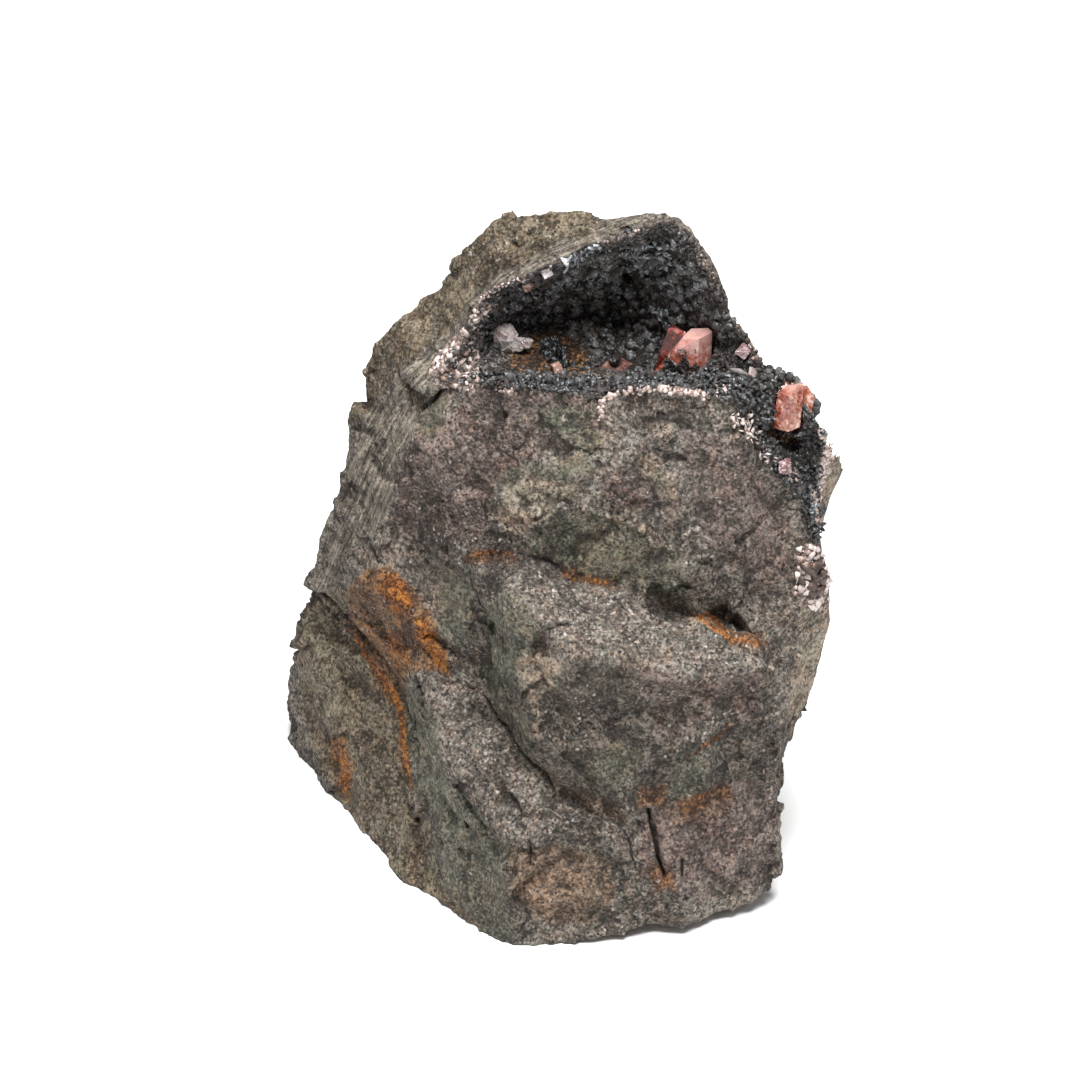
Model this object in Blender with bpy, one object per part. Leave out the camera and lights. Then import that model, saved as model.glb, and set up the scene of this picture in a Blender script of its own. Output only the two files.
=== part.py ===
"""Rhodochrosite on matrix: a broken block of dark rock with a hollow in its top, and the crystals in it.

Lengths are in millimetres here and in metres in the scene. Places are laid out on a sight plane, as
the rock is seen from the front and above: across and up are measured on that plane, and back is how
far a place lies behind the rock's front corner. X runs to the right, Y away from the viewer, Z up.
"""

import math

import bmesh
import bpy
from mathutils import Euler, Vector, noise
from mathutils.bvhtree import BVHTree
from mathutils.geometry import delaunay_2d_cdt

MM = 0.001
LOOK_DOWN = math.radians(33)
SIGHT_DISTANCE = 900
SIGHT_POINT = Vector((0, 45, 68))
AHEAD = Vector((0, math.cos(LOOK_DOWN), -math.sin(LOOK_DOWN)))
UPWARD = Vector((0, math.sin(LOOK_DOWN), math.cos(LOOK_DOWN)))

LONGEST_EDGE = 6.2
COARSE_GRAIN, COARSE_DEPTH = 15, 1.3
FINE_GRAIN, FINE_DEPTH, FINE_SHIFT = 6, 0.7, Vector((7, 3, 5))
SUNK = 2
BACK_BOW = 0.8
FIT_GAP = 0.3
FLOOR_BLOCK, FLOOR_BLOCK_BACK = (260, 260, 40), 50
LINE_MERGE, SEAM_MERGE = 0.01, 0.001

# The rock's outline, from the left floor corner round the top to the right floor corner
LEFT_SIDE = [
    (-50.4, -36.4, 75), (-49.8, -30, 73), (-49.2, -22, 71), (-49.4, -14.4, 69), (-47.4, -8.8, 66),
    (-44.4, -3, 64), (-43.2, 3.6, 62), (-41.2, 9, 61), (-39.8, 13.6, 60), (-38, 20, 60),
    (-37.6, 25.2, 60), (-36.2, 28, 61), (-36, 33.8, 62), (-33.8, 38.6, 62), (-32, 40.2, 62),
    (-28.4, 43.2, 63), (-22.8, 48.8, 62), (-19, 50.6, 62),
]
TOP_SIDE = [
    (-16.2, 55.6, 61), (-13.4, 59, 59), (-9.2, 64.2, 58), (-5.4, 65.4, 57), (0.6, 66, 56),
    (10.8, 64.2, 54), (12.2, 63.6, 53), (22.8, 64.8, 50), (26.6, 64.4, 49), (30.2, 61, 47),
    (33.6, 56.8, 46), (35.6, 53.4, 45), (38.2, 48.2, 44), (38, 45.2, 43), (42.4, 41, 42),
    (44.6, 36.2, 40), (45.8, 33, 39), (50, 29.6, 38), (54.4, 25.8, 36),
]
RIGHT_SIDE = [
    (57.4, 21.8, 36), (58.8, 18.8, 38), (61.2, 18.2, 46), (60.4, 14, 45), (58.6, 9, 43),
    (57.6, 4.2, 38), (56.6, 1.6, 36), (57.4, -2.4, 35), (58.4, -7.4, 35), (57.4, -16, 33),
    (56.4, -21.4, 31), (54.8, -28.2, 30), (52.8, -35.2, 27), (50.8, -40.4, 25), (48.4, -46, 23),
    (47.4, -51.4, 21), (47.2, -57.4, 19), (46.8, -62.4, 17), (48, -66, 16), (46.8, -71.2, 13),
]
RAISED_FOOT = [
    (44, -72.8, 11), (40.2, -73.4, 10), (34.6, -74.8, 8), (29, -76.8, 5), (18.8, -78, 3),
    (9.6, -79.2, 2), (3.8, -79.2, 2.5),
]
# Where the left front meets the floor, from the front corner to the left one
FOOT_LINE = [
    (-4.2, -81.6), (-8.4, -81), (-12.8, -78.4), (-17.4, -75.4), (-21.4, -72.2), (-28.6, -68.2),
    (-31.6, -64.8), (-38, -57.8), (-42.4, -52.2), (-46, -46.6), (-50.4, -40.4),
]

# Ridges, valleys and steps of the visible front
FRONT_LINES = {
    "hollow mouth": [
        (-20, 33, 44), (-16, 39, 45), (-12, 47.4, 46), (-9.6, 49.8, 47), (-1, 53.4, 48), (4, 55.2, 49),
        (8.6, 59.2, 50), (18.2, 60, 50), (24, 63.4, 49.5), (28.6, 60.6, 48), (32.4, 55.6, 46.5),
        (35.2, 49.6, 44.8), (36.8, 44.6, 43.4), (41.2, 39, 42), (43.6, 33.4, 39.5), (40, 28, 36),
        (32, 29.4, 37), (20, 30.4, 38), (12, 28.4, 39), (4, 30.4, 39.5), (-4, 31, 41), (-12, 31.4, 42.5),
        (-20, 33, 44),
    ],
    "hollow back wall": [(-4, 47.5, 55), (6, 51, 61), (16, 53, 62), (24, 55, 59), (30, 50, 53)],
    "hollow wall foot": [
        (-8, 41, 55), (0, 43, 60), (8, 44.4, 64), (16, 43, 66), (24, 42, 60), (32, 41, 53),
    ],
    "hollow floor": [
        (-12, 37, 49), (-4, 36, 52), (4, 35, 52), (12, 35.4, 54), (20, 34.4, 51), (30, 33.4, 46),
    ],
    "hollow right end": [(36.5, 38.5, 46.5), (38, 34, 42.5)],
    "slab edge": [
        (10.8, 61.6, 53), (0, 57.6, 52), (-8.4, 53.4, 51.5), (-13.8, 48.8, 52), (-18, 41.8, 52),
        (-22.8, 37, 52.5), (-28.2, 33.8, 54), (-29.8, 29.2, 55), (-34.6, 25, 58),
    ],
    "slab": [(-8, 60, 55.5), (-20, 46.5, 57.5), (-30, 38.5, 59)],
    "flank ridge": [
        (-20, 33, 44), (-25.4, 21.8, 44), (-28, 14, 45), (-30.8, 6.6, 46), (-31.2, 1.6, 44.5),
        (-32.4, -7, 43),
    ],
    "flank": [(-33.4, 16, 53), (-37.5, 2, 55), (-41.5, -6, 60)],
    "left crack": [
        (-44.8, -11.2, 65), (-39.2, -17, 57.5), (-32, -26.6, 48.5), (-29.2, -31.6, 45), (-27.4, -36.6, 41),
        (-25.6, -50.2, 33),
    ],
    "left crack upper lip": [(-43.4, -9.4, 60.5), (-37.6, -14.4, 53), (-30.2, -24.2, 44)],
    "left block": [(-45, -22, 64), (-42, -29, 60), (-38, -40, 50), (-31, -50, 37.5), (-25, -62, 24)],
    "olive wedge": [(-28.8, -28, 42.5), (-20.6, -35.8, 31.5), (-22.8, -47.2, 28.5)],
    "rust face": [(-28, -12, 41), (-22, -20, 36.5), (-25, -1, 41.5)],
    "band top": [(-21, -30.2, 32.5), (-16.5, -30.5, 28.5)],
    "band valley": [
        (-12, -29.4, 26.5), (-11.2, -33.6, 24.5), (-8.4, -38, 20.5), (-5.2, -42.2, 17.5), (-2, -45.6, 14.8),
        (2.6, -50.4, 12), (10, -55, 9.5),
    ],
    "band edge": [
        (-17.4, -40.2, 25.5), (-15.4, -46.2, 21.5), (-10.8, -52.6, 14.5), (-7.4, -58.2, 8.5),
        (-1.8, -58.8, 6.5),
    ],
    "front corner": [(-7.4, -58.2, 8.5), (-7.2, -66.8, 5.5), (-5.4, -77, 1.8)],
    "dark foot": [(-16, -62.5, 14)],
    "block side": [(-13.6, -5.8, 31.5), (-12, -13.4, 29.5), (-11.6, -21.4, 28), (-12, -29.4, 26.5)],
    "block side top": [(-10.6, -7.6, 29), (-8.6, -16, 25.5), (-8.4, -24, 24), (-8.2, -31, 21.5)],
    "left of block": [(-17, -12, 35), (-18, -22, 33)],
    "upper front": [(-16, 11.2, 38), (0, 19, 37.5), (4, 8, 34.5), (16, 4, 32), (28, 12, 33), (40, 14, 32)],
    "upper right": [(44, 0, 29.5), (32, -4, 28.5)],
    "flake edge": [(0.2, 25.4, 38.5), (3.2, 22.4, 37), (9.8, 18, 35.5)],
    "step": [
        (-13.6, -4, 33), (-8.2, -2.8, 32.5), (-1.4, -3.4, 31), (2.4, -5.6, 30), (7.2, -7.6, 28.5),
        (13.4, -9.2, 27.5), (18.6, -10.4, 27), (23.8, -12.8, 26.5), (31.8, -15.2, 25.5),
    ],
    "step lip": [
        (-12.4, -6, 30), (-7.6, -4.6, 29), (-1.2, -5.4, 28), (7.6, -9.8, 26), (18.8, -12.6, 24.5),
        (29.5, -17, 23),
    ],
    "notch": [
        (31.8, -15.2, 25), (37.4, -11.6, 27.5), (44.8, -20.4, 22.5), (38.6, -20.6, 21), (31.8, -15.2, 25),
    ],
    "notch floor": [(37, -16.2, 29)],
    "shelf edge": [
        (-4.4, -9.6, 26), (1.2, -16.2, 21), (7.8, -23, 16.5), (11.6, -23.8, 15.5), (18.6, -23.8, 15.5),
        (22.2, -26, 14.5), (26.8, -26.6, 15), (34.4, -26.6, 17), (39.8, -24.8, 19), (46.6, -23.6, 22.5),
    ],
    "right corner": [
        (43.6, 25, 35.5), (46.4, 18, 34), (51.6, 10, 33), (55, 1, 32), (54, -11.4, 29), (52.2, -17.4, 28),
        (51.6, -23.6, 25.5), (49.4, -31.4, 22), (50.2, -35.8, 22.5), (48.4, -43, 20.5), (46, -52, 17.5),
        (45.4, -62, 14),
    ],
    "right crust": [(48.5, 26.4, 38.5), (51.5, 20.5, 38), (54.2, 13, 37), (55.8, 6.4, 36)],
    "lower front": [(0, -36, 16.5), (12, -36, 13.5), (24, -35, 13), (34, -38, 14), (42, -40, 17)],
    "lower ridge": [(4, -49.4, 10.8), (15.6, -49.4, 9.2), (22.4, -43.6, 10.6)],
    "foot front": [(4, -66, 4), (12, -72, 3), (22, -62, 6), (33, -62, 8.5), (41, -66, 11)],
}

# The broken back and the underside, which only touches the floor inside its edges, as x, y, z
BACK_LINES = {
    "back foot": [(-52, 84, 4), (-44, 92, 2), (-16, 97, 3), (16, 95, 1), (40, 86, 5), (47, 70, 3)],
    "back middle": [(-43, 82, 40), (-30, 90, 52), (4, 95, 48), (32, 88, 56), (48, 72, 50)],
    "back shoulder": [(-31, 80, 91), (-6, 88, 100), (16, 87, 95), (38, 72, 88)],
    "back crest": [(-9, 73, 121), (8, 73, 125), (21, 68, 127)],
    "behind the hollow": [(28, 69, 112), (36, 63, 104)],
    "right flank": [(51, 52, 72), (49, 52, 40), (47, 44, 10)],
    "underside rim": [
        (-3, 6, -SUNK), (-16, 20, -SUNK), (-30, 42, -SUNK), (-46, 72, -SUNK), (-42, 86, -SUNK),
        (-16, 92, -SUNK), (16, 90, -SUNK), (38, 80, -SUNK), (42, 60, -SUNK), (38, 30, -SUNK),
        (24, 16, -SUNK), (8, 10, -SUNK),
    ],
    "underside": [(0, 40, -SUNK), (-6, 70, -SUNK), (20, 62, -SUNK)],
}

# Crystals. Each has a root on the rock, as (across, up), and corners as (across, up, back from the root)
CRYSTAL_PAIR = {
    "root": (28, 33.6),
    "dark": [
        (22.4, 32.4, 0.2), (25.6, 42.2, 1.2), (26.6, 43.1, 2.6), (27.1, 42.4, 1.0), (28.5, 40.7, -0.6),
        (29.2, 41.6, 1.6), (29.4, 32.0, 0), (25.5, 31.6, -1.4), (22.8, 32.4, 3.4), (25.7, 42.0, 3.8),
        (29.0, 41.2, 4.0), (29.0, 32.0, 4.5),
    ],
    "light": [
        (30.3, 42.3, 2.2), (33.6, 42.4, 2.2), (34.5, 41.6, 1.0), (31.8, 40.2, -1.6), (29.2, 41.3, 0.4),
        (28.3, 40.2, -0.6), (26.0, 37.2, -1.6), (26.0, 31.2, -1.6), (31.4, 30.0, -2.8), (34.0, 31.4, -0.2),
        (34.4, 40.0, 0.6), (30.3, 41.6, 4.4), (33.8, 41.6, 4.2), (34.2, 31.6, 4.0), (27.2, 31.6, 3.6),
    ],
}
RIGHT_CLUSTER = {
    "root": (50, 25),
    "main": [
        (48.9, 30.9, 1.5), (47.6, 29.6, 0.5), (46.9, 25.2, -0.5), (46.4, 22.6, -0.5), (49.6, 21.6, -2.5),
        (52.0, 22.6, -1.0), (52.5, 27.8, 0), (52.8, 30.9, 1.5), (52.7, 31.5, 2.5), (51.4, 30.9, 0.5),
        (50.2, 28.6, -1.5), (49.0, 30.4, 4.5), (52.6, 30.8, 4.5), (52.4, 23.0, 4.0), (47.0, 23.4, 4.0),
    ],
    "plate": [
        (45.6, 29.7, 2.6), (47.6, 31.9, 4.4), (50.9, 31.6, 4.6), (46.7, 28.7, 1.8), (50.0, 28.0, 2.2),
        (46.4, 29.2, 4.4), (50.5, 30.6, 6.0),
    ],
    "grey": [
        (52.6, 30.8, 3.0), (53.4, 31.0, 3.5), (54.6, 29.1, 3.0), (54.9, 28.5, 3.0), (54.4, 26.1, 1.5),
        (52.6, 24.0, 0.5), (53.8, 22.6, 1.5), (52.6, 30.6, 6.0), (54.4, 28.8, 6.0), (53.8, 24.0, 5.0),
    ],
}
PALE_CRYSTAL = {
    "root": (-7.2, 39.4),
    "lump": [
        (-9.4, 42.8, 0.4), (-6.0, 43.4, 0.9), (-4.4, 41.6, 0.2), (-5.2, 37.8, -1.2), (-7.8, 37.4, -1.0),
        (-9.4, 40.0, -0.4), (-6.8, 40.8, -2.6), (-9.0, 41.6, 4.0), (-5.0, 41.6, 4.0), (-5.6, 37.4, 4.0),
        (-8.4, 37.4, 4.0),
    ],
    "arm": [
        (-6.0, 40.8, -1.8), (-1.6, 40.3, -2.2), (-1.2, 39.4, -1.8), (-2.4, 38.2, -1.9), (-5.6, 37.4, -1.6),
        (-1.9, 39.4, -0.6), (-5.5, 39.4, 1.5),
    ],
}
RINGED_CRYSTAL = {
    "root": (15.4, 34.8),
    "tablet": [
        (12.0, 34.4, -0.4), (14.4, 36.8, 0.9), (16.4, 36.4, 1.0), (18.6, 35.2, 0.2), (15.6, 33.4, -1.4),
        (12.6, 33.0, -1.2), (13.0, 33.0, 0.8), (16.0, 34.0, 1.8), (17.8, 33.6, 1.2), (15.4, 32.2, 0.2),
    ],
}
PINK_BLADES = {
    "root": (42, 33.4),
    "long": [
        (38.0, 34.4, 0.2), (40.0, 34.3, -0.4), (43.6, 32.2, -1.2), (43.4, 31.2, -0.6), (38.4, 33.4, 1.8),
        (42.4, 31.4, 1.2), (40.0, 32.2, 1.5),
    ],
    "short": [
        (41.9, 34.7, 0.6), (42.6, 34.6, 0), (45.0, 32.7, -0.4), (44.8, 31.9, 0.2), (42.2, 33.2, 2.0),
        (44.0, 31.4, 2.2), (41.6, 32.2, 0.2),
    ],
}
BALL_SPOT, BALL_RADIUS, BALL_RAISED = (15.0, 34.8), 1.2, 1.4
ROOTED_SHARE = 0.8
# Smaller crystals, as root, edge length, spread of the edges from the axis, lean and turn in degrees
SMALL_CRYSTALS = {
    "lavender_crystal": ((40.8, 37.6), 2.2, 52, (20, -25), 15),
    "chip_crystal": ((3.2, 34.2), 1.8, 58, (35, 20), 40),
    "rim_crystal_low": ((-2.4, 50.8), 1.8, 50, (15, -20), 10),
    "rim_crystal_high": ((1.2, 53.4), 1.9, 54, (25, 15), 30),
    "edge_crystal": ((48.6, 14.6), 2.3, 55, (30, 30), 20),
}
# The black blades as place, length, width and turn in degrees, all leaning out of one root
BLACK_BLADES = {
    "root": (2.6, 36.6),
    "blades": [
        ((-1.6, 0.4), 5.0, 2.4, 24), ((-0.4, 0.0), 5.6, 2.6, -12), ((0.9, 0.5), 4.6, 2.2, 38),
        ((1.7, -0.3), 3.6, 2.0, -34), ((0.3, 1.2), 5.0, 2.2, 8),
    ],
}
BLADE_THICKNESS, BLADE_SUNK = 0.7, 1.6
BLADE_LEAN, BLADE_TWIST = -20, 2
# One blade's outline, as shares of its width and its length
BLADE_OUTLINE = [(-0.5, 0), (0.5, 0), (0.5, 0.7), (0.1, 1), (-0.5, 0.8)]


def sight_place(point):
    """(across, up) of a point on the sight plane."""
    offset = Vector(point) - SIGHT_POINT
    spread = 1 + offset.dot(AHEAD) / SIGHT_DISTANCE
    return Vector((offset.x / spread, offset.dot(UPWARD) / spread))


def at_depth(across, up, depth):
    spread = 1 + depth / SIGHT_DISTANCE
    return SIGHT_POINT + Vector((across * spread, 0, 0)) + UPWARD * (up * spread) + AHEAD * depth


def spot(across, up, back):
    """The point seen at (across, up) that lies this far behind the front corner."""
    slope = AHEAD.y + up * UPWARD.y / SIGHT_DISTANCE
    return at_depth(across, up, (back - SIGHT_POINT.y - up * UPWARD.y) / slope)


def foot_spot(across, up):
    """The floor point seen at (across, up), let down a little so that the rest face cuts it clean."""
    slope = -AHEAD.z - up * UPWARD.z / SIGHT_DISTANCE
    return at_depth(across, up, (SIGHT_POINT.z + up * UPWARD.z) / slope) - Vector((0, 0, SUNK))


def sheet_faces(outline, lines):
    """Points and triangles of a sheet inside an outline, with an edge along every line."""
    points, edges = list(outline), []
    for line in lines:
        edges += [(len(points) + i, len(points) + i + 1) for i in range(len(line) - 1)]
        points += line
    places = [sight_place(point) for point in points]
    rim = [list(range(len(outline)))]
    found, _, faces, origins, _, _ = delaunay_2d_cdt(places, edges, rim, 1, LINE_MERGE)
    kept = []
    for place, origin in zip(found, origins):
        if not origin:
            raise ValueError(f"two lines cross at {place.x:.1f}, {place.y:.1f}")
        kept.append(points[origin[0]])
    return kept, faces


def sheet_mesh(outline, lines):
    mesh = bmesh.new()
    points, faces = sheet_faces(outline, lines)
    corners = [mesh.verts.new(point) for point in points]
    for face in faces:
        mesh.faces.new([corners[i] for i in face])
    return mesh


def bow_chords(mesh, bow):
    """Splits each edge that crosses a sheet from rim to rim and bows it, so two sheets never share it."""
    chords = [e for e in mesh.edges if not e.is_boundary and all(v.is_boundary for v in e.verts)]
    split = bmesh.ops.subdivide_edges(mesh, edges=chords, cuts=1)
    for vert in split["geom_inner"]:
        if isinstance(vert, bmesh.types.BMVert):
            vert.co += bow
    bmesh.ops.triangulate(mesh, faces=[f for f in mesh.faces if len(f.verts) > 3])


def rock_cage():
    """The rock's ridges and faces as one closed mesh of plain triangles."""
    outline = [spot(*p) for p in LEFT_SIDE + TOP_SIDE + RIGHT_SIDE + RAISED_FOOT]
    outline += [foot_spot(*p) for p in FOOT_LINE]
    front = sheet_mesh(outline, [[spot(*p) for p in line] for line in FRONT_LINES.values()])
    back = sheet_mesh(outline, [[Vector(p) for p in line] for line in BACK_LINES.values()])
    bow_chords(back, AHEAD * BACK_BOW)
    data = bpy.data.meshes.new("back_sheet")
    back.to_mesh(data)
    front.from_mesh(data)
    bpy.data.meshes.remove(data)
    back.free()
    bmesh.ops.remove_doubles(front, verts=front.verts, dist=SEAM_MERGE)
    bmesh.ops.recalc_face_normals(front, faces=front.faces)
    return front


def split_long_edges(mesh, longest):
    while True:
        long = [edge for edge in mesh.edges if edge.calc_length() > longest]
        if not long:
            return
        bmesh.ops.subdivide_edges(mesh, edges=long, cuts=1)
        bmesh.ops.triangulate(mesh, faces=[f for f in mesh.faces if len(f.verts) > 3])


def roughen(mesh):
    """Moves each point along its normal, as broken rock wanders about its planes."""
    mesh.normal_update()
    moves = []
    for vert in mesh.verts:
        coarse = noise.noise(vert.co / COARSE_GRAIN) * COARSE_DEPTH
        fine = noise.noise(vert.co / FINE_GRAIN + FINE_SHIFT) * FINE_DEPTH
        moves.append(vert.normal * (coarse + fine))
    for vert, move in zip(mesh.verts, moves):
        vert.co += move


def finish_material(name, color, roughness, metallic=0.0):
    material = bpy.data.materials.new(name)
    material.use_nodes = True
    shader = material.node_tree.nodes["Principled BSDF"]
    shader.inputs["Base Color"].default_value = (*color, 1)
    shader.inputs["Roughness"].default_value = roughness
    shader.inputs["Metallic"].default_value = metallic
    return material


def add_object(name, mesh, origin, material=None):
    """A scene object in metres from a bmesh in millimetres about the laying-out frame."""
    for vert in mesh.verts:
        vert.co = (vert.co - origin) * MM
    data = bpy.data.meshes.new(name)
    mesh.to_mesh(data)
    mesh.free()
    obj = bpy.data.objects.new(name, data)
    bpy.context.collection.objects.link(obj)
    if material:
        data.materials.append(material)
    return obj


def hide_helper(obj):
    obj.hide_render = True
    obj.display_type = "WIRE"


def add_boolean(obj, other, operation):
    modifier = obj.modifiers.new(other.name, "BOOLEAN")
    modifier.operation = operation
    modifier.object = other


def hull(points):
    mesh = bmesh.new()
    for point in points:
        mesh.verts.new(point)
    made = bmesh.ops.convex_hull(mesh, input=mesh.verts)
    loose = {v for v in made["geom_interior"] + made["geom_unused"] if isinstance(v, bmesh.types.BMVert)}
    bmesh.ops.delete(mesh, geom=list(loose), context="VERTS")
    bmesh.ops.recalc_face_normals(mesh, faces=mesh.faces)
    return mesh


def grown(mesh, gap):
    """The hull of a convex crystal moved by the gap to every side."""
    reach = gap * math.sqrt(3)
    sides = [Vector(axis) * way for axis in ((1, 0, 0), (0, 1, 0), (0, 0, 1)) for way in (-reach, reach)]
    return hull([vert.co + side for vert in mesh.verts for side in sides])


def floor_cutter(origin):
    mesh = bmesh.new()
    bmesh.ops.create_cube(mesh, size=1)
    bmesh.ops.scale(mesh, vec=FLOOR_BLOCK, verts=mesh.verts)
    middle = Vector((0, FLOOR_BLOCK_BACK, -FLOOR_BLOCK[2] / 2))
    bmesh.ops.translate(mesh, vec=middle, verts=mesh.verts)
    cutter = add_object("floor_cutter", mesh, origin)
    hide_helper(cutter)
    return cutter


def sight_back(tree, across, up):
    """How far behind the front corner the sight line through (across, up) meets the rock."""
    eye = SIGHT_POINT - AHEAD * SIGHT_DISTANCE
    hit = tree.ray_cast(eye, at_depth(across, up, 0) - eye)[0]
    if hit is None:
        raise ValueError(f"no rock at {across}, {up}")
    return hit.y


def corner_hulls(tree, crystal):
    """A convex mesh for each list of corners, set back to where the crystal's root meets the rock."""
    back = sight_back(tree, *crystal["root"])
    shapes = [corners for name, corners in crystal.items() if name != "root"]
    return [hull([spot(across, up, back + off) for across, up, off in corners]) for corners in shapes]


def small_crystal(tree, root, edge, spread, lean, turn):
    """A rhomb-shaped crystal: eight corners made of three equal edges round a leaning axis."""
    foot = spot(*root, sight_back(tree, *root))
    turned = Euler([math.radians(a) for a in (*lean, turn)]).to_matrix()
    slant = math.radians(spread)
    edges = []
    for i in range(3):
        angle = math.radians(120 * i)
        way = (math.sin(slant) * math.cos(angle), math.sin(slant) * math.sin(angle), math.cos(slant))
        edges.append(turned @ Vector(way) * edge)
    sides = [(a, b, c) for a in (0, 1) for b in (0, 1) for c in (0, 1)]
    middle = sum(edges, Vector()) / 2
    foot -= middle * ROOTED_SHARE
    return hull([foot + edges[0] * a + edges[1] * b + edges[2] * c for a, b, c in sides])


def black_blades(tree):
    """Flat pointed blades that lean out of one root."""
    across, up = BLACK_BLADES["root"]
    foot = spot(across, up, sight_back(tree, across, up))
    made = []
    for (aside, behind), length, width, turn in BLACK_BLADES["blades"]:
        turned = Euler([math.radians(a) for a in (BLADE_LEAN, turn, turn * BLADE_TWIST)]).to_matrix()
        outline = [(x * width, z * length) for x, z in BLADE_OUTLINE]
        corners = [Vector((x, side * BLADE_THICKNESS / 2, z)) for x, z in outline for side in (-1, 1)]
        middle = foot + Vector((aside, behind, -BLADE_SUNK))
        made.append(hull([middle + turned @ corner for corner in corners]))
    return made


def ball(centre, radius):
    mesh = bmesh.new()
    bmesh.ops.create_icosphere(mesh, subdivisions=2, radius=radius)
    bmesh.ops.translate(mesh, vec=centre, verts=mesh.verts)
    return mesh


def add_crystal(name, hulls, material, origin, *socketed):
    """One solid from the hulls that make a crystal, and the sockets it stands in, one for each hull."""
    for i, mesh in enumerate(hulls):
        socket = add_object(f"{name}_socket_{i + 1}", grown(mesh, FIT_GAP), origin)
        hide_helper(socket)
        for carrier in socketed:
            add_boolean(carrier, socket, "DIFFERENCE")
    crystal = add_object(name, hulls[0], origin, material)
    for i, mesh in enumerate(hulls[1:]):
        other = add_object(f"{name}_part_{i + 2}", mesh, origin)
        hide_helper(other)
        add_boolean(crystal, other, "UNION")
    return crystal


def build():
    for obj in list(bpy.data.objects):
        bpy.data.objects.remove(obj)
    rock = rock_cage()
    split_long_edges(rock, LONGEST_EDGE)
    roughen(rock)
    tree = BVHTree.FromBMesh(rock)
    width = [v.co.x for v in rock.verts]
    depth = [v.co.y for v in rock.verts]
    origin = Vector(((min(width) + max(width)) / 2, (min(depth) + max(depth)) / 2, 0))
    stone = finish_material("rock", (0.12, 0.105, 0.09), 0.9)
    salmon = finish_material("rhodochrosite", (0.62, 0.2, 0.16), 0.15)
    pale = finish_material("pale_carbonate", (0.68, 0.5, 0.46), 0.25)
    black = finish_material("black_oxide", (0.02, 0.02, 0.022), 0.35)
    matrix = add_object("matrix", rock, origin, stone)
    add_boolean(matrix, floor_cutter(origin), "DIFFERENCE")
    add_crystal("crystal_pair", corner_hulls(tree, CRYSTAL_PAIR), salmon, origin, matrix)
    add_crystal("right_cluster", corner_hulls(tree, RIGHT_CLUSTER), salmon, origin, matrix)
    add_crystal("pale_crystal", corner_hulls(tree, PALE_CRYSTAL), pale, origin, matrix)
    add_crystal("pink_blades", corner_hulls(tree, PINK_BLADES), pale, origin, matrix)
    tablet = add_crystal("ringed_crystal", corner_hulls(tree, RINGED_CRYSTAL), pale, origin, matrix)
    ball_back = sight_back(tree, *BALL_SPOT)
    centre = spot(*BALL_SPOT, ball_back) + Vector((0, 0, BALL_RAISED))
    add_crystal("black_ball", [ball(centre, BALL_RADIUS)], black, origin, tablet, matrix)
    add_crystal("black_blades", black_blades(tree), black, origin, matrix)
    for name, (root, edge, spread, lean, turn) in SMALL_CRYSTALS.items():
        add_crystal(name, [small_crystal(tree, root, edge, spread, lean, turn)], pale, origin, matrix)
    print("frame origin in the laying-out frame:", [round(value, 3) for value in origin])


build()
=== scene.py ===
"""Rhodochrosite on matrix: the finish of the rock, its crusts and its crystals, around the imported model.

Lengths are in millimetres until a mesh is written. Marks on the rock are outlines and lines in pixels
of the photograph, which is 1080 across, and lines of sight carry them onto the rock.
"""

import math
import random
from itertools import product

import bmesh
import bpy
import numpy as np
from mathutils import Euler, Matrix, Vector, noise
from mathutils.bvhtree import BVHTree


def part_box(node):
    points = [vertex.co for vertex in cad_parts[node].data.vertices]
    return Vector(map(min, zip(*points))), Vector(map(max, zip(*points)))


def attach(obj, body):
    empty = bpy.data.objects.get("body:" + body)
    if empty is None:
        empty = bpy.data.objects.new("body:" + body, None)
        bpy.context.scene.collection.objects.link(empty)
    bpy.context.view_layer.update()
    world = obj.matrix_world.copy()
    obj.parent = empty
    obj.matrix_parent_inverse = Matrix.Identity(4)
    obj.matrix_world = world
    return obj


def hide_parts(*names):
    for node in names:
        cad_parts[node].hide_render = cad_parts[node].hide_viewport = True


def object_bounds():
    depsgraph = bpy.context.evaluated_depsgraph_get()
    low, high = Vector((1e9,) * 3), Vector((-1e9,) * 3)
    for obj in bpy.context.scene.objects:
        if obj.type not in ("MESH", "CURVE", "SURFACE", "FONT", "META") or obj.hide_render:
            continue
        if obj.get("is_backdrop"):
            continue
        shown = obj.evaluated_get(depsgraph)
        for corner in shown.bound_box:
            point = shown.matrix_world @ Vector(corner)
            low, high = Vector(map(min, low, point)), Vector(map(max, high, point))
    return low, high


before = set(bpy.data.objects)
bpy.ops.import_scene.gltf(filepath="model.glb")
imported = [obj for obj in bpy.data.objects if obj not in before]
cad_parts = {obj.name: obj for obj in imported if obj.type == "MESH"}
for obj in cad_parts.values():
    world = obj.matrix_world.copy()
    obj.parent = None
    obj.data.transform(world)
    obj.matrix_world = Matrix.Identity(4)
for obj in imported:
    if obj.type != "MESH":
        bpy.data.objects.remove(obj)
cad_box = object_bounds()

MM = 0.001

# The line of sight, about which the rock is laid out
LOOK_DOWN = math.radians(33)
SIGHT_DISTANCE = 900
SIGHT_POINT = np.array((-3.339, -4.158, 68.0))
RIGHTWARD = np.array((1.0, 0.0, 0.0))
UPWARD = np.array((0.0, math.sin(LOOK_DOWN), math.cos(LOOK_DOWN)))
AHEAD = np.array((0.0, math.cos(LOOK_DOWN), -math.sin(LOOK_DOWN)))
EYE = SIGHT_POINT - AHEAD * SIGHT_DISTANCE
PICTURE_MIDDLE, PIXELS_PER_MM = 540, 5
LENS, SENSOR = 150, 36
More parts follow.
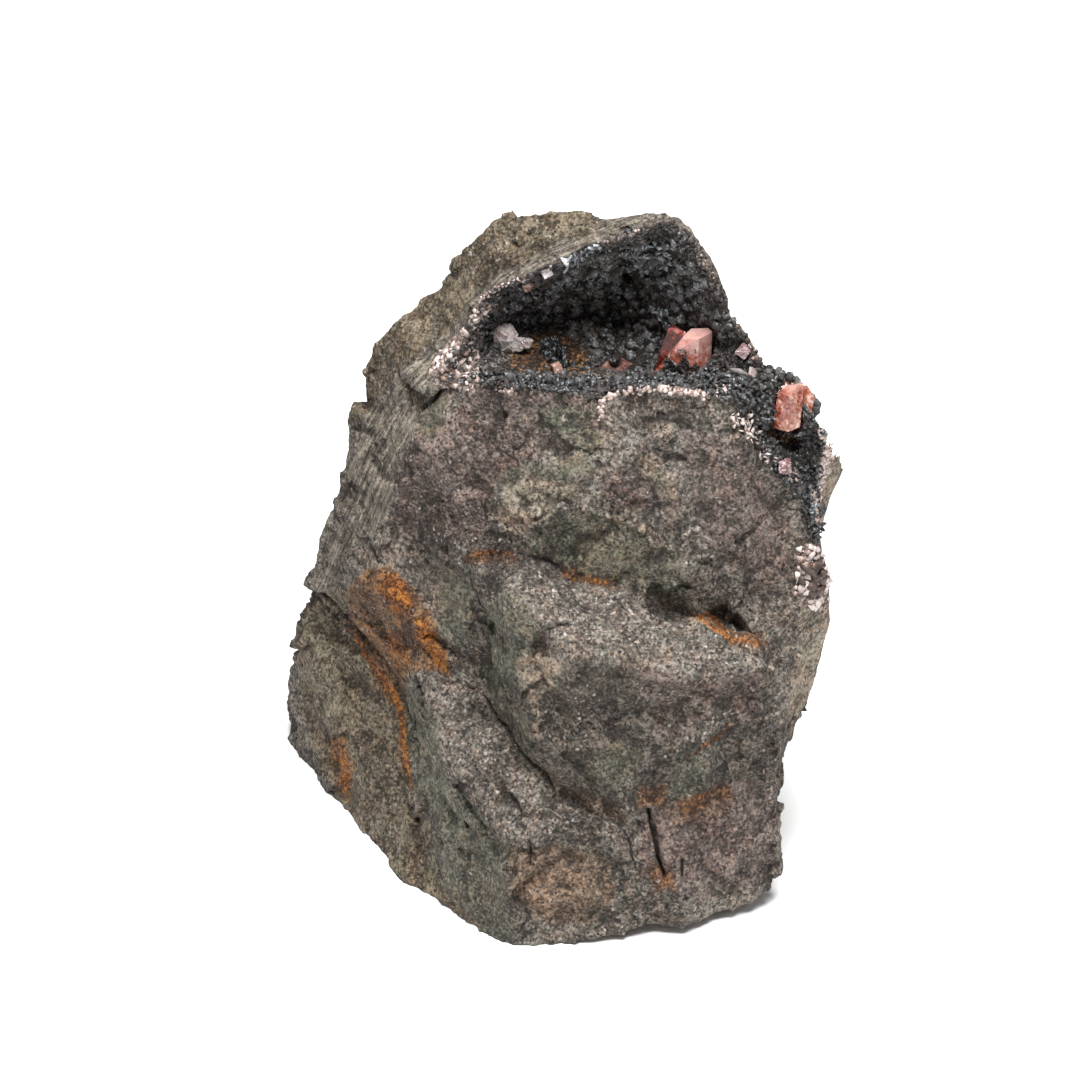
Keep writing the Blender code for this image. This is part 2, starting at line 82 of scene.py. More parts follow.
# The stage, with lengths in metres and the softbox's power in watts
FLOOR_REACH = 2
NEAREST_SEEN = 0.01
STUDIO_LIGHT = 0.24
SOFTBOX_PLACE, SOFTBOX_TARGET = Vector((0.04, -0.16, 0.94)), Vector((0, 0, 0.05))
SOFTBOX_SIZE, SOFTBOX_POWER = 0.5, 20

ROCK_VOXEL = 0.45
MOST_ROCK_FACES = 196000
CRYSTAL_VOXEL = 0.12
HALF = Vector((0.5, 0.5, 0.5))
LEAST_LENGTH = 1e-12
# The broken faces' facets, from broad to fine, and how far they stand proud
FACET_SIZES = (11, 4.4, 2.1)
FACET_HEIGHTS = (2.3, 0.95, 0.3)
KNOB_SIZE, KNOB_HEIGHT = 3.6, 2.0
# How near the crystals the rock is left smooth, and where the thin slab end on the right begins
ROOM_ROUND_CRYSTALS = 3.0
SLAB_END = (49, 53)
# The rock splits more easily across these directions than along them
SHEAR = np.array((1.0, 0.6, 0.85))

# Where the hollow and the black crust that runs on from it lie, and the hollow's knobbly back wall
HOLLOW = [
    (480, 303), (492, 291), (520, 280), (535, 273), (560, 264), (575, 252), (600, 240), (640, 228),
    (675, 222), (694, 240), (708, 268), (722, 292), (733, 318), (748, 338), (762, 360), (790, 375),
    (812, 395), (822, 425), (826, 445), (818, 480), (822, 535), (812, 543), (800, 505), (775, 472),
    (756, 442), (738, 408), (712, 394), (676, 389), (640, 388), (612, 394), (596, 402), (560, 392),
    (520, 388), (478, 386), (452, 384), (440, 372), (452, 352), (466, 330),
]
HOLLOW_WALL = [
    (524, 290), (562, 274), (588, 256), (640, 244), (676, 240), (692, 258), (714, 298), (728, 322),
    (740, 345), (715, 350), (690, 330), (660, 330), (640, 372), (600, 356), (560, 330), (530, 322),
    (500, 305),
]
# Tones of the rock's broken faces; two of them, as noted where they stand, are painted shade
TONES = {
    "olive": [
        [(486, 600), (505, 594), (530, 604), (540, 630), (530, 650), (512, 690), (500, 700), (486, 690),
         (484, 640)],
        [(396, 680), (415, 690), (437, 719), (440, 760), (436, 790), (420, 800), (411, 792), (404, 745),
         (400, 715)],
        [(541, 413), (562, 413), (585, 412), (600, 440), (590, 462), (573, 442), (556, 428)],
        [(556, 512), (600, 508), (640, 532), (672, 552), (690, 578), (680, 598), (640, 588), (600, 582),
         (566, 570), (530, 552), (528, 540)],
        [(430, 840), (470, 830), (505, 842), (506, 870), (514, 935), (500, 945), (460, 905), (425, 870)],
        [(436, 760), (462, 790), (497, 830), (470, 850), (440, 830), (420, 800)],
        [(505, 705), (524, 712), (532, 760), (552, 785), (560, 795), (530, 768), (505, 740)],
        [(580, 770), (610, 745), (640, 740), (645, 765), (620, 782), (592, 790)],
        [(670, 770), (700, 750), (708, 765), (700, 800), (664, 805)],
        [(413, 410), (450, 395), (440, 430), (420, 440)],
        [(440, 566), (470, 572), (478, 640), (450, 650), (436, 620)],
        [(500, 470), (540, 460), (585, 456), (600, 470), (560, 480), (530, 490), (505, 500), (498, 486)],
    ],
    "brown": [
        [(412, 440), (470, 400), (540, 412), (556, 440), (500, 478), (478, 540), (430, 552), (392, 530),
         (395, 480)],
        [(455, 386), (590, 388), (590, 402), (560, 412), (470, 405)],
        [(640, 672), (700, 678), (760, 672), (765, 720), (730, 722), (700, 700), (660, 706), (640, 700)],
        [(650, 712), (690, 702), (700, 722), (676, 740), (655, 738)],
        [(640, 800), (760, 780), (780, 820), (768, 880), (700, 900), (640, 880)],
        [(600, 470), (640, 460), (670, 490), (660, 510), (620, 506), (596, 490)],
        [(680, 430), (740, 440), (790, 520), (780, 590), (720, 560), (690, 500)],
    ],
    "tan": [
        [(500, 490), (530, 476), (566, 480), (596, 492), (560, 500), (550, 520), (520, 535), (498, 528)],
        [(640, 448), (664, 470), (676, 500), (660, 502), (644, 476)],
        [(518, 655), (545, 650), (561, 664), (552, 690), (536, 700), (520, 692)],
        [(530, 698), (537, 698), (538, 733), (533, 735)],
        [(800, 600), (830, 565), (828, 640), (816, 700), (796, 755), (782, 790), (787, 720), (795, 660)],
        [(827, 446), (848, 452), (846, 470), (823, 532), (816, 500), (822, 470)],
        [(814, 424), (824, 426), (834, 442), (832, 470), (824, 500), (826, 526), (814, 526), (810, 500),
         (818, 470)],
        [(590, 505), (625, 520), (660, 538), (672, 552), (640, 532), (600, 516)],
    ],
    "ash": [
        [(600, 404), (690, 402), (740, 450), (700, 520), (660, 520), (600, 470)],
        [(500, 490), (530, 466), (590, 462), (596, 492), (560, 500), (550, 520), (520, 535), (498, 528)],
        [(690, 500), (780, 520), (790, 600), (750, 600), (700, 560)],
    ],
    "grit": [
        [(500, 564), (552, 580), (640, 600), (700, 622), (760, 648), (740, 668), (690, 670), (633, 660),
         (579, 650), (546, 625), (530, 596)],
        [(545, 700), (600, 690), (606, 740), (575, 755), (550, 745), (540, 720)],
        [(440, 690), (470, 700), (498, 736), (530, 772), (553, 797), (600, 825), (560, 840), (510, 838),
         (486, 803), (463, 771), (450, 735)],
        [(470, 225), (560, 215), (590, 225), (520, 258), (470, 275)],
        [(590, 905), (700, 900), (700, 925), (600, 938)],
        [(410, 480), (470, 470), (500, 500), (505, 550), (430, 545)],
        [(640, 680), (740, 690), (740, 760), (690, 740), (640, 710)],
    ],
    "ochre": [
        [(505, 850), (560, 848), (609, 856), (616, 885), (612, 905), (585, 925), (540, 920), (512, 890)],
        [(345, 590), (372, 572), (400, 600), (420, 640), (400, 680), (372, 655), (352, 630)],
        [(660, 806), (700, 802), (735, 790), (720, 820), (670, 826)],
        [(560, 790), (620, 800), (625, 820), (590, 818)],
    ],
    "umber": [
        [(300, 600), (345, 590), (372, 660), (400, 720), (412, 800), (440, 860), (500, 945), (430, 905),
         (360, 840), (300, 720)],
        [(430, 200), (600, 190), (594, 232), (540, 252), (487, 288), (450, 331), (399, 371), (367, 415),
         (330, 430), (340, 320)],
    ],
    # Painted shade: a darker tone over the faces below the ridges, on the lower left and on the top-left
    # slab.
    "dusk": [
        [(486, 620), (540, 660), (600, 672), (700, 690), (765, 690), (772, 770), (700, 800), (560, 800),
         (520, 765), (486, 700)],
        [(660, 545), (700, 560), (712, 600), (690, 606), (650, 596), (600, 588), (560, 570), (600, 560)],
        [(420, 800), (500, 842), (510, 940), (430, 905), (390, 840)],
        [(430, 200), (600, 190), (594, 232), (540, 252), (487, 288), (450, 331), (399, 371), (367, 415),
         (330, 430), (340, 320)],
    ],
    "striae": [
        [(594, 232), (566, 242), (540, 252), (520, 263), (498, 273), (487, 288), (471, 296), (460, 314),
         (450, 331), (426, 355), (399, 371), (398, 383), (391, 394), (367, 415), (352, 450), (344, 510),
         (321, 568), (303, 600), (318, 604), (345, 560), (366, 538), (384, 530), (386, 507), (400, 460),
         (413, 431), (410, 400), (436, 378), (450, 352), (470, 318), (484, 300), (520, 278), (560, 262),
         (600, 244), (640, 222), (660, 214), (630, 210)],
    ],
    # Painted shade: a dark tone in the recesses, the creases and under the ledges.
    "shade": [
        [(562, 655), (600, 664), (640, 672), (640, 700), (610, 694), (580, 690), (566, 676)],
        [(500, 705), (515, 720), (530, 760), (556, 792), (530, 770), (505, 742)],
        [(575, 720), (588, 726), (590, 770), (578, 772)],
        [(530, 548), (552, 540), (556, 560), (540, 562)],
        [(505, 893), (530, 896), (532, 914), (508, 912)],
        [(585, 905), (622, 902), (620, 932), (590, 934)],
        [(420, 520), (440, 522), (452, 560), (436, 590), (412, 560)],
    ],
    "stain": [
        [(352, 578), (385, 566), (412, 588), (430, 612), (448, 650), (450, 682), (430, 670), (405, 674),
         (402, 700), (410, 740), (414, 792), (404, 772), (396, 722), (380, 692), (362, 657), (345, 627)],
        [(326, 736), (342, 738), (356, 770), (350, 806), (336, 790)],
        [(466, 552), (512, 548), (516, 562), (470, 564)],
        [(560, 566), (612, 580), (616, 592), (566, 580)],
        [(684, 608), (735, 634), (768, 636), (768, 648), (730, 650)],
        [(636, 788), (664, 784), (664, 806), (640, 808)],
        [(672, 800), (732, 784), (732, 798), (680, 820)],
        [(650, 868), (676, 870), (676, 890), (652, 890)],
    ],
}
TONE_SOFTNESS = 6
# Rust, as outlines
RUST = [
    [(378, 575), (396, 572), (410, 590), (412, 612), (402, 622), (388, 610), (376, 590)],
    [(416, 625), (428, 618), (446, 660), (447, 678), (430, 665), (416, 640)],
    [(387, 633), (403, 630), (403, 669), (395, 665)],
    [(332, 741), (340, 745), (351, 770), (348, 801), (342, 790), (338, 765)],
    [(690, 800), (702, 792), (720, 789), (700, 803)],
    [(646, 800), (656, 788), (659, 793), (652, 806)],
]
RUST_SOFTNESS = 9
# Rust along lines, as points and half width
RUST_LINES = {
    "groove": ([(348, 630), (362, 652), (380, 673), (394, 698), (403, 723), (405, 750), (412, 791)], 5),
    "step": ([(472, 561), (480, 554), (505, 552), (518, 560)], 2.5),
    "step middle": ([(562, 571), (574, 579), (600, 581), (612, 588)], 2.5),
    "notch rim": ([(690, 613), (700, 617), (716, 632), (733, 643), (750, 642), (766, 644)], 3.5),
    "notch face": ([(704, 612), (716, 620), (728, 634)], 5),
    "short step": ([(680, 761), (700, 750), (715, 738), (730, 726)], 2.5),
}
# Cracks, as points, half width in pixels and depth in millimetres
CRACKS = {
    "left crack": ([(316, 596), (328, 608), (344, 625), (354, 642)], 4.5, 1.7),
    "rust groove": ([(354, 642), (380, 673), (394, 698), (403, 723), (405, 750), (412, 791)], 3, 0.6),
    "fissure": ([(366, 538), (374, 552), (384, 568)], 2.5, 0.5),
    "chip slot": ([(419, 409), (430, 401), (445, 389)], 4.5, 2.2),
    "hairline above": ([(487, 440), (505, 452), (521, 463)], 2.2, 0.3),
    "flake crack": ([(637, 444), (648, 457), (660, 462)], 2.2, 0.4),
    "upright crack": ([(504, 520), (509, 536), (508, 552)], 2.2, 0.5),
    "step": ([(526, 553), (545, 558), (562, 570), (576, 579), (607, 586)], 2.6, 0.7),
    "step right": ([(655, 602), (680, 611), (700, 616)], 2.2, 0.5),
    "block side": ([(471, 562), (471, 578), (476, 592), (483, 614), (484, 645), (480, 665),
                    (485, 690)], 2.6, 0.8),
    "valley": ([(452, 682), (470, 702), (485, 716), (500, 736), (515, 753), (530, 769),
                (553, 795)], 3.2, 1.0),
    "valley end": ([(566, 806), (578, 811), (592, 816)], 3, 0.9),
    "hairline": ([(747, 606), (755, 613), (762, 617)], 2.2, 0.4),
    "slot": ([(649, 812), (655, 835), (660, 858), (664, 876)], 5, 3.0),
    "slot side": ([(618, 822), (630, 846), (637, 868)], 2.4, 0.5),
    "small slot": ([(681, 858), (682, 875)], 2.8, 0.9),
    "foot notch": ([(529, 840), (532, 850), (531, 866)], 3, 1.0),
}
# Folds of the broken faces, as points, height in millimetres (below 0 for a valley) and how far the
# slope reaches on the left and on the right of the line, in pixels
FOLDS = {
    "wall brow": ([(520, 540), (545, 512), (570, 502), (600, 508), (630, 522), (660, 540), (682, 562),
                   (706, 600)],
                  2.2, 80, 32),
    "step foot": ([(468, 562), (499, 556), (533, 557), (552, 568), (576, 578), (607, 586), (659, 604),
                   (699, 616)],
                  -2.0, 30, 36),
    "band lip": ([(490, 580), (520, 598), (548, 624), (575, 646), (600, 657), (640, 667), (700, 673),
                  (765, 664), (800, 650)], 2.9, 44, 46),
    "wall foot": ([(440, 672), (470, 702), (500, 736), (530, 769), (553, 795), (592, 816)], -3.0, 50, 22),
    "band edge": ([(430, 680), (445, 725), (460, 765), (480, 798), (498, 826), (510, 842)], 2.2, 26, 34),
    "block side": ([(471, 562), (476, 592), (483, 614), (484, 645), (480, 665), (486, 700)], -1.6, 7, 40),
    "smear ridge": ([(510, 600), (522, 650), (533, 700), (536, 740), (552, 780)], 1.9, 26, 30),
    "centre spur": ([(566, 676), (585, 720), (602, 760), (612, 800)], 1.9, 36, 30),
    "curl": ([(600, 791), (618, 785), (632, 772), (645, 765), (662, 776)], 0.8, 10, 16),
    "short step": ([(674, 763), (700, 750), (715, 738), (733, 723)], -0.9, 8, 22),
    "round hollow": ([(650, 732), (668, 710), (695, 700)], -1.0, 16, 24),
    "tan ridge": ([(630, 438), (650, 458), (664, 475), (673, 502)], 1.0, 30, 16),
    "lens": ([(496, 512), (512, 484), (545, 470), (590, 468), (640, 480)], 0.9, 26, 22),
    "foot edge": ([(500, 842), (540, 838), (590, 846), (640, 856), (700, 862)], 1.2, 34, 14),
    "foot rise": ([(505, 880), (560, 900), (620, 892), (700, 888)], 0.9, 22, 22),
    "right arc": ([(698, 884), (728, 862), (746, 838)], 0.7, 14, 16),
    "right edge": ([(742, 600), (756, 680), (764, 730), (772, 790)], 0.9, 22, 24),
    "rust valley": ([(318, 598), (352, 638), (380, 674), (398, 705), (408, 760), (420, 800)], -2.6, 34, 30),
    "left ledge": ([(300, 640), (330, 690), (352, 740), (372, 800)], 1.2, 26, 26),
    "slick rib": ([(404, 692), (424, 730), (436, 790), (452, 840)], 0.9, 12, 16),
    "upper brow": ([(420, 470), (470, 452), (540, 448), (590, 456)], 1.0, 34, 30),
    "right brow": ([(690, 420), (720, 470), (742, 520), (760, 580)], 1.0, 34, 30),
    "top ledge": ([(380, 330), (430, 290), (480, 262), (540, 236)], 1.2, 22, 28),
    "top step": ([(352, 400), (380, 350), (420, 300), (450, 262)], -1.0, 14, 22),
}
# Flakes that stand proud of the face below them, as outline, height in millimetres, and the pixels
# across between which the flake runs out
FLAKES = {
    "flake": (
        [(541, 413), (562, 413), (580, 412), (592, 402), (640, 398), (690, 400), (700, 430), (660, 470),
         (620, 466), (600, 458), (589, 450), (573, 442), (556, 428)],
        0.9, 590, 650,
    ),
}
# Pits in the rock, as outline and depth in millimetres (below 0 to fill a step of the solid)
PITS = {
    "pocket": ([(619, 255), (632, 254), (638, 266), (632, 280), (620, 276)], 4.0),
    "notch": ([(706, 608), (726, 601), (737, 614), (752, 637), (735, 637), (718, 627)], 1.5),
    "filled step": ([(640, 584), (665, 579), (694, 588), (698, 610), (662, 606), (640, 600)], -1.5),
    "right recess": ([(757, 424), (780, 424), (800, 440), (797, 456), (778, 446), (762, 436)], 3.0),
}
# The line that the sheared grain of the left flank follows
GRAIN_LINE = [
    (640, 216), (594, 236), (540, 257), (500, 281), (465, 318), (436, 365), (405, 395), (375, 450),
    (345, 520), (310, 600), (296, 680),
]


# Brown dusty floor of the hollow, where the black crust thins out
DUSTY_FLOOR = [
    [(540, 330), (566, 332), (590, 360), (586, 376), (560, 372), (540, 372), (509, 372), (514, 352)],
    [(600, 374), (650, 376), (660, 384), (612, 386)],
    [(757, 424), (780, 424), (800, 440), (797, 456), (778, 446), (762, 436)],
]
# Where the black crust leaves the small ringed crystal free
RING_ROOM = [(594, 350), (640, 350), (640, 377), (594, 377)]
# Black spots on the front of the salmon crystal
CRYSTAL_SPOTS = [
    [(677, 347), (684, 348), (690, 352), (686, 355), (688, 359), (683, 357), (679, 360), (675, 358),
     (678, 353), (674, 350)],
    [(671, 341), (675, 341), (675, 345), (671, 345)],
    [(693, 349), (697, 349), (696, 353), (693, 353)],
]
# Where the jagged black crust climbs the front of the two crystals
CRYSTAL_FOOT = [
    (654, 382), (656, 374), (662, 370), (665, 362), (667, 355), (672, 362), (678, 366), (681, 361),
    (685, 357), (688, 364), (692, 368), (696, 362), (700, 369), (706, 365), (713, 372), (713, 384),
]
# The globular black crust that stands up behind the crystals on the right edge, and how
# far back it stands
EDGE_CRUST = [
    (758, 366), (768, 370), (778, 371), (790, 376), (800, 383), (808, 391), (815, 402), (818, 414),
    (812, 426), (800, 430), (796, 410), (790, 394), (775, 392), (762, 384),
]
EDGE_CRUST_Y = -6.5
# Where black laths stand, as outlines, spacing, shortest and longest: the front lip, the left end of
# the hollow, the strip down the right edge, the group on the dusty floor and the floor round the crystals
LATH_GROUNDS = [
    ([[(480, 372), (520, 374), (600, 384), (660, 372), (720, 366), (760, 385), (756, 405), (712, 392),
       (676, 387), (640, 386), (612, 392), (560, 392), (478, 386)]], 0.95, 0.9, 2.6),
    ([[(490, 292), (530, 280), (545, 320), (530, 345), (495, 350), (478, 330)]], 1.1, 0.7, 1.9),
    ([[(730, 370), (812, 396), (824, 430), (818, 480), (822, 535), (812, 543), (800, 505), (775, 472),
       (756, 442), (735, 400)]], 1.1, 0.7, 2.1),
    ([[(540, 344), (562, 342), (570, 356), (566, 372), (552, 368), (540, 358)]], 1.7, 1.4, 2.6),
    ([[(560, 362), (600, 356), (650, 366), (735, 350), (756, 366), (720, 374), (660, 380), (600, 380)]],
     1.2, 0.5, 1.5),
]
# Where the bright flakes stand near the top of the back wall
SILVER_GROUNDS = [
    [(634, 244), (650, 240), (668, 246), (673, 262), (660, 272), (640, 270), (632, 258)],
    [(655, 312), (664, 310), (668, 320), (658, 324)],
    [(563, 258), (600, 242), (604, 248), (568, 266)],
]
# The cream crust of small rounded grains, along the front of the rim and down its right end
BEAD_GROUND = [
    (597, 418), (598, 404), (605, 395), (614, 389), (624, 386), (642, 388), (658, 383), (677, 388),
    (692, 389), (708, 393), (706, 398), (690, 394), (676, 393), (658, 390), (641, 394), (624, 392),
    (612, 396), (604, 406), (602, 419),
]
RIGHT_BEAD_GROUND = [
    (815, 424), (823, 428), (830, 440), (832, 456), (830, 470), (824, 482), (820, 498), (824, 522),
    (816, 524), (809, 500), (814, 480), (822, 462), (822, 442),
]
# Ground strewn with angular pale grains, as outlines, spacing, smallest and largest radius, and tone
GRAIN_GROUNDS = [
    ([[(480, 303), (468, 322), (452, 338), (438, 352), (430, 370), (440, 388), (458, 390), (480, 388),
       (494, 380), (474, 366), (482, 352), (488, 338), (480, 328), (492, 314), (500, 298)]],
     1.25, 0.5, 1.7, 0.6),
    ([[(478, 298), (500, 284), (524, 274), (527, 281), (502, 292), (484, 304)],
      [(452, 382), (478, 383), (476, 391), (452, 389)], [(494, 382), (506, 382), (505, 391), (494, 390)],
      [(500, 384), (518, 386), (516, 394), (502, 392)], [(530, 381), (544, 384), (542, 389), (530, 387)]],
     1.0, 0.4, 0.9, 0.6),
    ([[(698, 248), (706, 254), (716, 280), (724, 300), (718, 300), (706, 278), (698, 262)],
      [(560, 262), (600, 242), (640, 226), (642, 231), (602, 248), (562, 268)]], 1.1, 0.3, 0.7, 0.5),
    ([[(795, 552), (806, 545), (818, 546), (828, 560), (835, 580), (832, 600), (818, 612), (806, 606),
       (797, 598), (793, 588), (798, 575), (793, 565)]], 1.3, 0.8, 1.7, 0.85),
    ([[(745, 340), (765, 345), (768, 362), (752, 360)]], 1.2, 0.4, 0.9, 0.4),
]
# The glassy middle of the large patch on the right edge
GLASSY_MIDDLE = [(804, 566), (818, 564), (824, 580), (818, 594), (806, 592), (801, 578)]
# Small groups of pale laths on the right of the rim
PALE_LATHS = [
    [(714, 384), (727, 384), (728, 394), (716, 396)],
    [(730, 412), (748, 414), (756, 428), (744, 432), (732, 424)],
    [(747, 432), (758, 432), (759, 441), (748, 441)],
    [(758, 449), (772, 449), (778, 461), (762, 462)],
    [(780, 466), (796, 470), (800, 482), (784, 480)],
]


class Wire:
    """The value of a socket in a finish, or a sum worked out from such values."""

    def __init__(self, finish, socket):
        self.finish = finish
        self.socket = socket

    def worked(self, operation, other, swapped=False):
        pair = (other, self) if swapped else (self, other)
        return self.finish.node("ShaderNodeMath", {"operation": operation}, dict(enumerate(pair)))

    def __add__(self, other):
        return self.worked("ADD", other)

    def __mul__(self, other):
        return self.worked("MULTIPLY", other)

    def __sub__(self, other):
        return self.worked("SUBTRACT", other)

    def __rsub__(self, other):
        return self.worked("SUBTRACT", other, swapped=True)

    __radd__ = __add__
    __rmul__ = __mul__


class Finish:
    """A material's node tree, with one call for any node and short ones for those used most."""

    def __init__(self, name, plain=()):
        self.material = bpy.data.materials.new(name)
        self.material.use_nodes = True
        self.tree = self.material.node_tree
        self.shader = self.tree.nodes["Principled BSDF"]
        for socket, value in dict(plain).items():
            self.shader.inputs[socket].default_value = value

    def node(self, kind, settings=None, inputs=None, output=0):
        made = self.tree.nodes.new(kind)
        for name, value in (settings or {}).items():
            if name == "stops":
                self.set_stops(made.color_ramp, value)
            else:
                setattr(made, name, value)
        for socket, value in (inputs or {}).items():
            self.feed(made.inputs[socket], value)
        return Wire(self, made.outputs[output])

    def feed(self, socket, value):
        if isinstance(value, Wire):
            self.tree.links.new(value.socket, socket)
        elif isinstance(value, str):
            socket.default_value = (*srgb(value), 1)
        elif socket.type == "RGBA":
            socket.default_value = (*value, 1)
        else:
            socket.default_value = value

    def set_stops(self, ramp, stops):
        while len(ramp.elements) < len(stops):
            ramp.elements.new(1)
        for element, (position, color) in zip(ramp.elements, stops):
            element.position = position
            element.color = (*srgb(color), 1)

    def place(self):
        return self.node("ShaderNodeTexCoord", output="Object")

    def noise(self, place, size, detail=2, roughness=0.5, distortion=0):
        inputs = {
            "Vector": place, "Scale": 1 / (size * MM), "Detail": detail, "Roughness": roughness,
            "Distortion": distortion,
        }
        return self.node("ShaderNodeTexNoise", inputs=inputs)

    def cells(self, place, size):
        """A random colour for each cell of about this size."""
        inputs = {"Vector": place, "Scale": 1 / (size * MM)}
        return self.node("ShaderNodeTexVoronoi", inputs=inputs, output="Color")

    def shaken(self, place, size, amount):
        """The place, moved about by a noise, so that what is drawn there gets ragged outlines."""
        inputs = {"Vector": place, "Scale": 1 / (size * MM), "Detail": 2}
        drift = self.node("ShaderNodeTexNoise", inputs=inputs, output=1)
        scaled = self.node("ShaderNodeVectorMath", {"operation": "SCALE"}, {0: drift, "Scale": amount * MM})
        return self.node("ShaderNodeVectorMath", {"operation": "ADD"}, {0: place, 1: scaled})

    def part(self, color, index):
        return self.node("ShaderNodeSeparateColor", inputs={0: color}, output=index)

    def mark(self, name):
        return self.node("ShaderNodeAttribute", {"attribute_name": name}, output="Fac")

    def rise(self, value, low, high):
        """0 below low, 1 above high, smooth between them."""
        inputs = {"Value": value, "From Min": low, "From Max": high}
        return self.node("ShaderNodeMapRange", {"interpolation_type": "SMOOTHSTEP"}, inputs)

    def torn(self, name, tear, amount, soft):
        """A mark whose soft edge is torn by a noise into a sharp ragged one."""
        return self.rise(self.mark(name) + (tear - 0.5) * amount, 0.5 - soft, 0.5 + soft)

    def color(self, factor, first, second, way="MIX"):
        settings = {"data_type": "RGBA", "blend_type": way}
        return self.node("ShaderNodeMix", settings, {0: factor, 6: first, 7: second}, 2)

    def ramp(self, factor, stops):
        return self.node("ShaderNodeValToRGB", {"stops": stops}, {0: factor})

    def toned(self, color, value, share, tones):
        """A colour covered by a share of a dark, a middle and a light tone."""
        stops = list(zip((0.39, 0.5, 0.62), tones))
        return self.color(share, color, self.ramp(value, stops))

    def bump(self, height, strength, distance):
        inputs = {"Height": height, "Strength": strength, "Distance": distance * MM}
        return self.node("ShaderNodeBump", inputs=inputs)

    def finish(self, **sockets):
        for name, value in sockets.items():
            self.feed(self.shader.inputs[name.replace("_", " ").title()], value)
        return self.material


def srgb(text):
    """The light values of a colour written as six hexadecimal digits."""
    parts = [int(text[i:i + 2], 16) / 255 for i in (0, 2, 4)]
    return tuple(c / 12.92 if c <= 0.04045 else ((c + 0.055) / 1.055) ** 2.4 for c in parts)


def photo_place(points):
    """Where points show in the photograph, in its pixels across and down."""
    offset = points - SIGHT_POINT
    spread = 1 + offset @ AHEAD / SIGHT_DISTANCE
    across = PICTURE_MIDDLE + PIXELS_PER_MM * (offset @ RIGHTWARD) / spread
    down = PICTURE_MIDDLE - PIXELS_PER_MM * (offset @ UPWARD) / spread
    return np.column_stack((across, down))


def sight_way(pixel):
    """The way from the eye along the line of sight through a pixel."""
    across = (pixel[0] - PICTURE_MIDDLE) / PIXELS_PER_MM
    up = (PICTURE_MIDDLE - pixel[1]) / PIXELS_PER_MM
    return SIGHT_POINT + RIGHTWARD * across + UPWARD * up - EYE


def on_sight_line(pixel, y):
    """The point of the line of sight through a pixel that has this y."""
    way = sight_way(pixel)
    return EYE + way * (y - EYE[1]) / way[1]


def seen_on(tree, pixel):
    """The point and normal where the line of sight through a pixel meets the crystals, if it does."""
    point, normal, _, _ = tree.ray_cast(Vector(EYE), Vector(sight_way(pixel)).normalized())
    return (np.array(point), normal) if point else None


def facing(points, normals):
    """How squarely a surface faces the eye: 1 towards it, 0 edge on, below 0 turned away."""
    way = EYE - points
    way /= np.linalg.norm(way, axis=1)[:, None]
    return (way * normals).sum(axis=1)


def unit(vectors):
    return vectors / np.maximum(np.linalg.norm(vectors, axis=1), LEAST_LENGTH)[:, None]


def ramped(values, low, high):
    share = np.clip((values - low) / (high - low), 0, 1)
    return share * share * (3 - 2 * share)


def line_distance(places, line):
    """Distance of places from a line, with the distance along it of the nearest point and the side."""
    line = np.array(line, float)
    best = np.full(len(places), np.inf)
    along = np.zeros(len(places))
    side = np.ones(len(places))
    run = 0.0
    for start, end in zip(line[:-1], line[1:]):
        step = end - start
        length = np.hypot(*step)
        offset = places - start
        share = np.clip(offset @ step / length ** 2, 0, 1)
        away = offset - share[:, None] * step
        distance = np.hypot(away[:, 0], away[:, 1])
        nearer = distance < best
        best[nearer] = distance[nearer]
        along[nearer] = run + share[nearer] * length
        side[nearer] = np.sign(step[0] * offset[nearer, 1] - step[1] * offset[nearer, 0])
        run += length
    return best, along, side


def inside(places, outline):
    """True for places inside an outline."""
    found = np.zeros(len(places), bool)
    x, y = places.T
    for (x1, y1), (x2, y2) in zip(outline, outline[1:] + outline[:1]):
        if y1 != y2:
            crosses = (y1 > y) != (y2 > y)
            found ^= crosses & (x < (x2 - x1) * (y - y1) / (y2 - y1) + x1)
    return found


def near_box(places, shape, margin):
    corners = np.array(shape, float)
    low = corners.min(axis=0) - margin
    high = corners.max(axis=0) + margin
    return np.all((places > low) & (places < high), axis=1)


def patch(places, outlines, softness):
    """1 well inside any of the outlines, one half on its edge and 0 well outside."""
    strength = np.zeros(len(places))
    for outline in outlines:
        near = near_box(places, outline, softness)
        close = places[near]
        distance = line_distance(close, outline + outline[:1])[0]
        depth = np.where(inside(close, outline), distance, -distance)
        strength[near] = np.maximum(strength[near], ramped(depth, -softness, softness))
    return strength


def groove(places, line, width, broken=None):
    """1 along a line, falling to 0 at its half width, which narrows to both ends and where it is broken."""
    strength = np.zeros(len(places))
    near = near_box(places, line, width)
    distance, along, _ = line_distance(places[near], line)
    total = sum(math.dist(a, b) for a, b in zip(line[:-1], line[1:]))
    taper = 0.45 + 0.55 * np.sin(np.pi * np.clip(along / total, 0.02, 0.98))
    if broken is not None:
        taper *= broken[near]
    strength[near] = ramped(1 - distance / (width * taper), 0, 1)
    return strength


def noise_at(points, size, shift=0.0, octaves=1):
    """A smooth random height about zero for each point, with features of this size."""
    places = (points / size + shift).tolist()
    if octaves == 1:
        return np.array([noise.noise(place) for place in places])
    return np.array([noise.fractal(place, 1.0, 2.0, octaves) for place in places])


def wandered(points, size, amount, shift):
    """Small sideways moves in pixels, smooth over this size, that make drawn lines wander."""
    across = noise_at(points, size, shift, 3)
    down = noise_at(points, size, shift + 31.7, 3)
    return amount * np.column_stack((across, down))


def drift(points):
    """The sideways moves of the lines drawn on the rock, broad and fine."""
    return wandered(points, 7, 6, 4.1) + wandered(points, 2, 2.5, 8.3)


def cracks_at(points, places):
    """For each crack, how strong it is at the points, and its depth. All but the slots are broken up."""
    broken = 0.75 + 0.6 * noise_at(points, 3, 6.6, 2)
    for name, (line, width, depth) in CRACKS.items():
        yield groove(places, line, width, None if "slot" in name else broken), depth


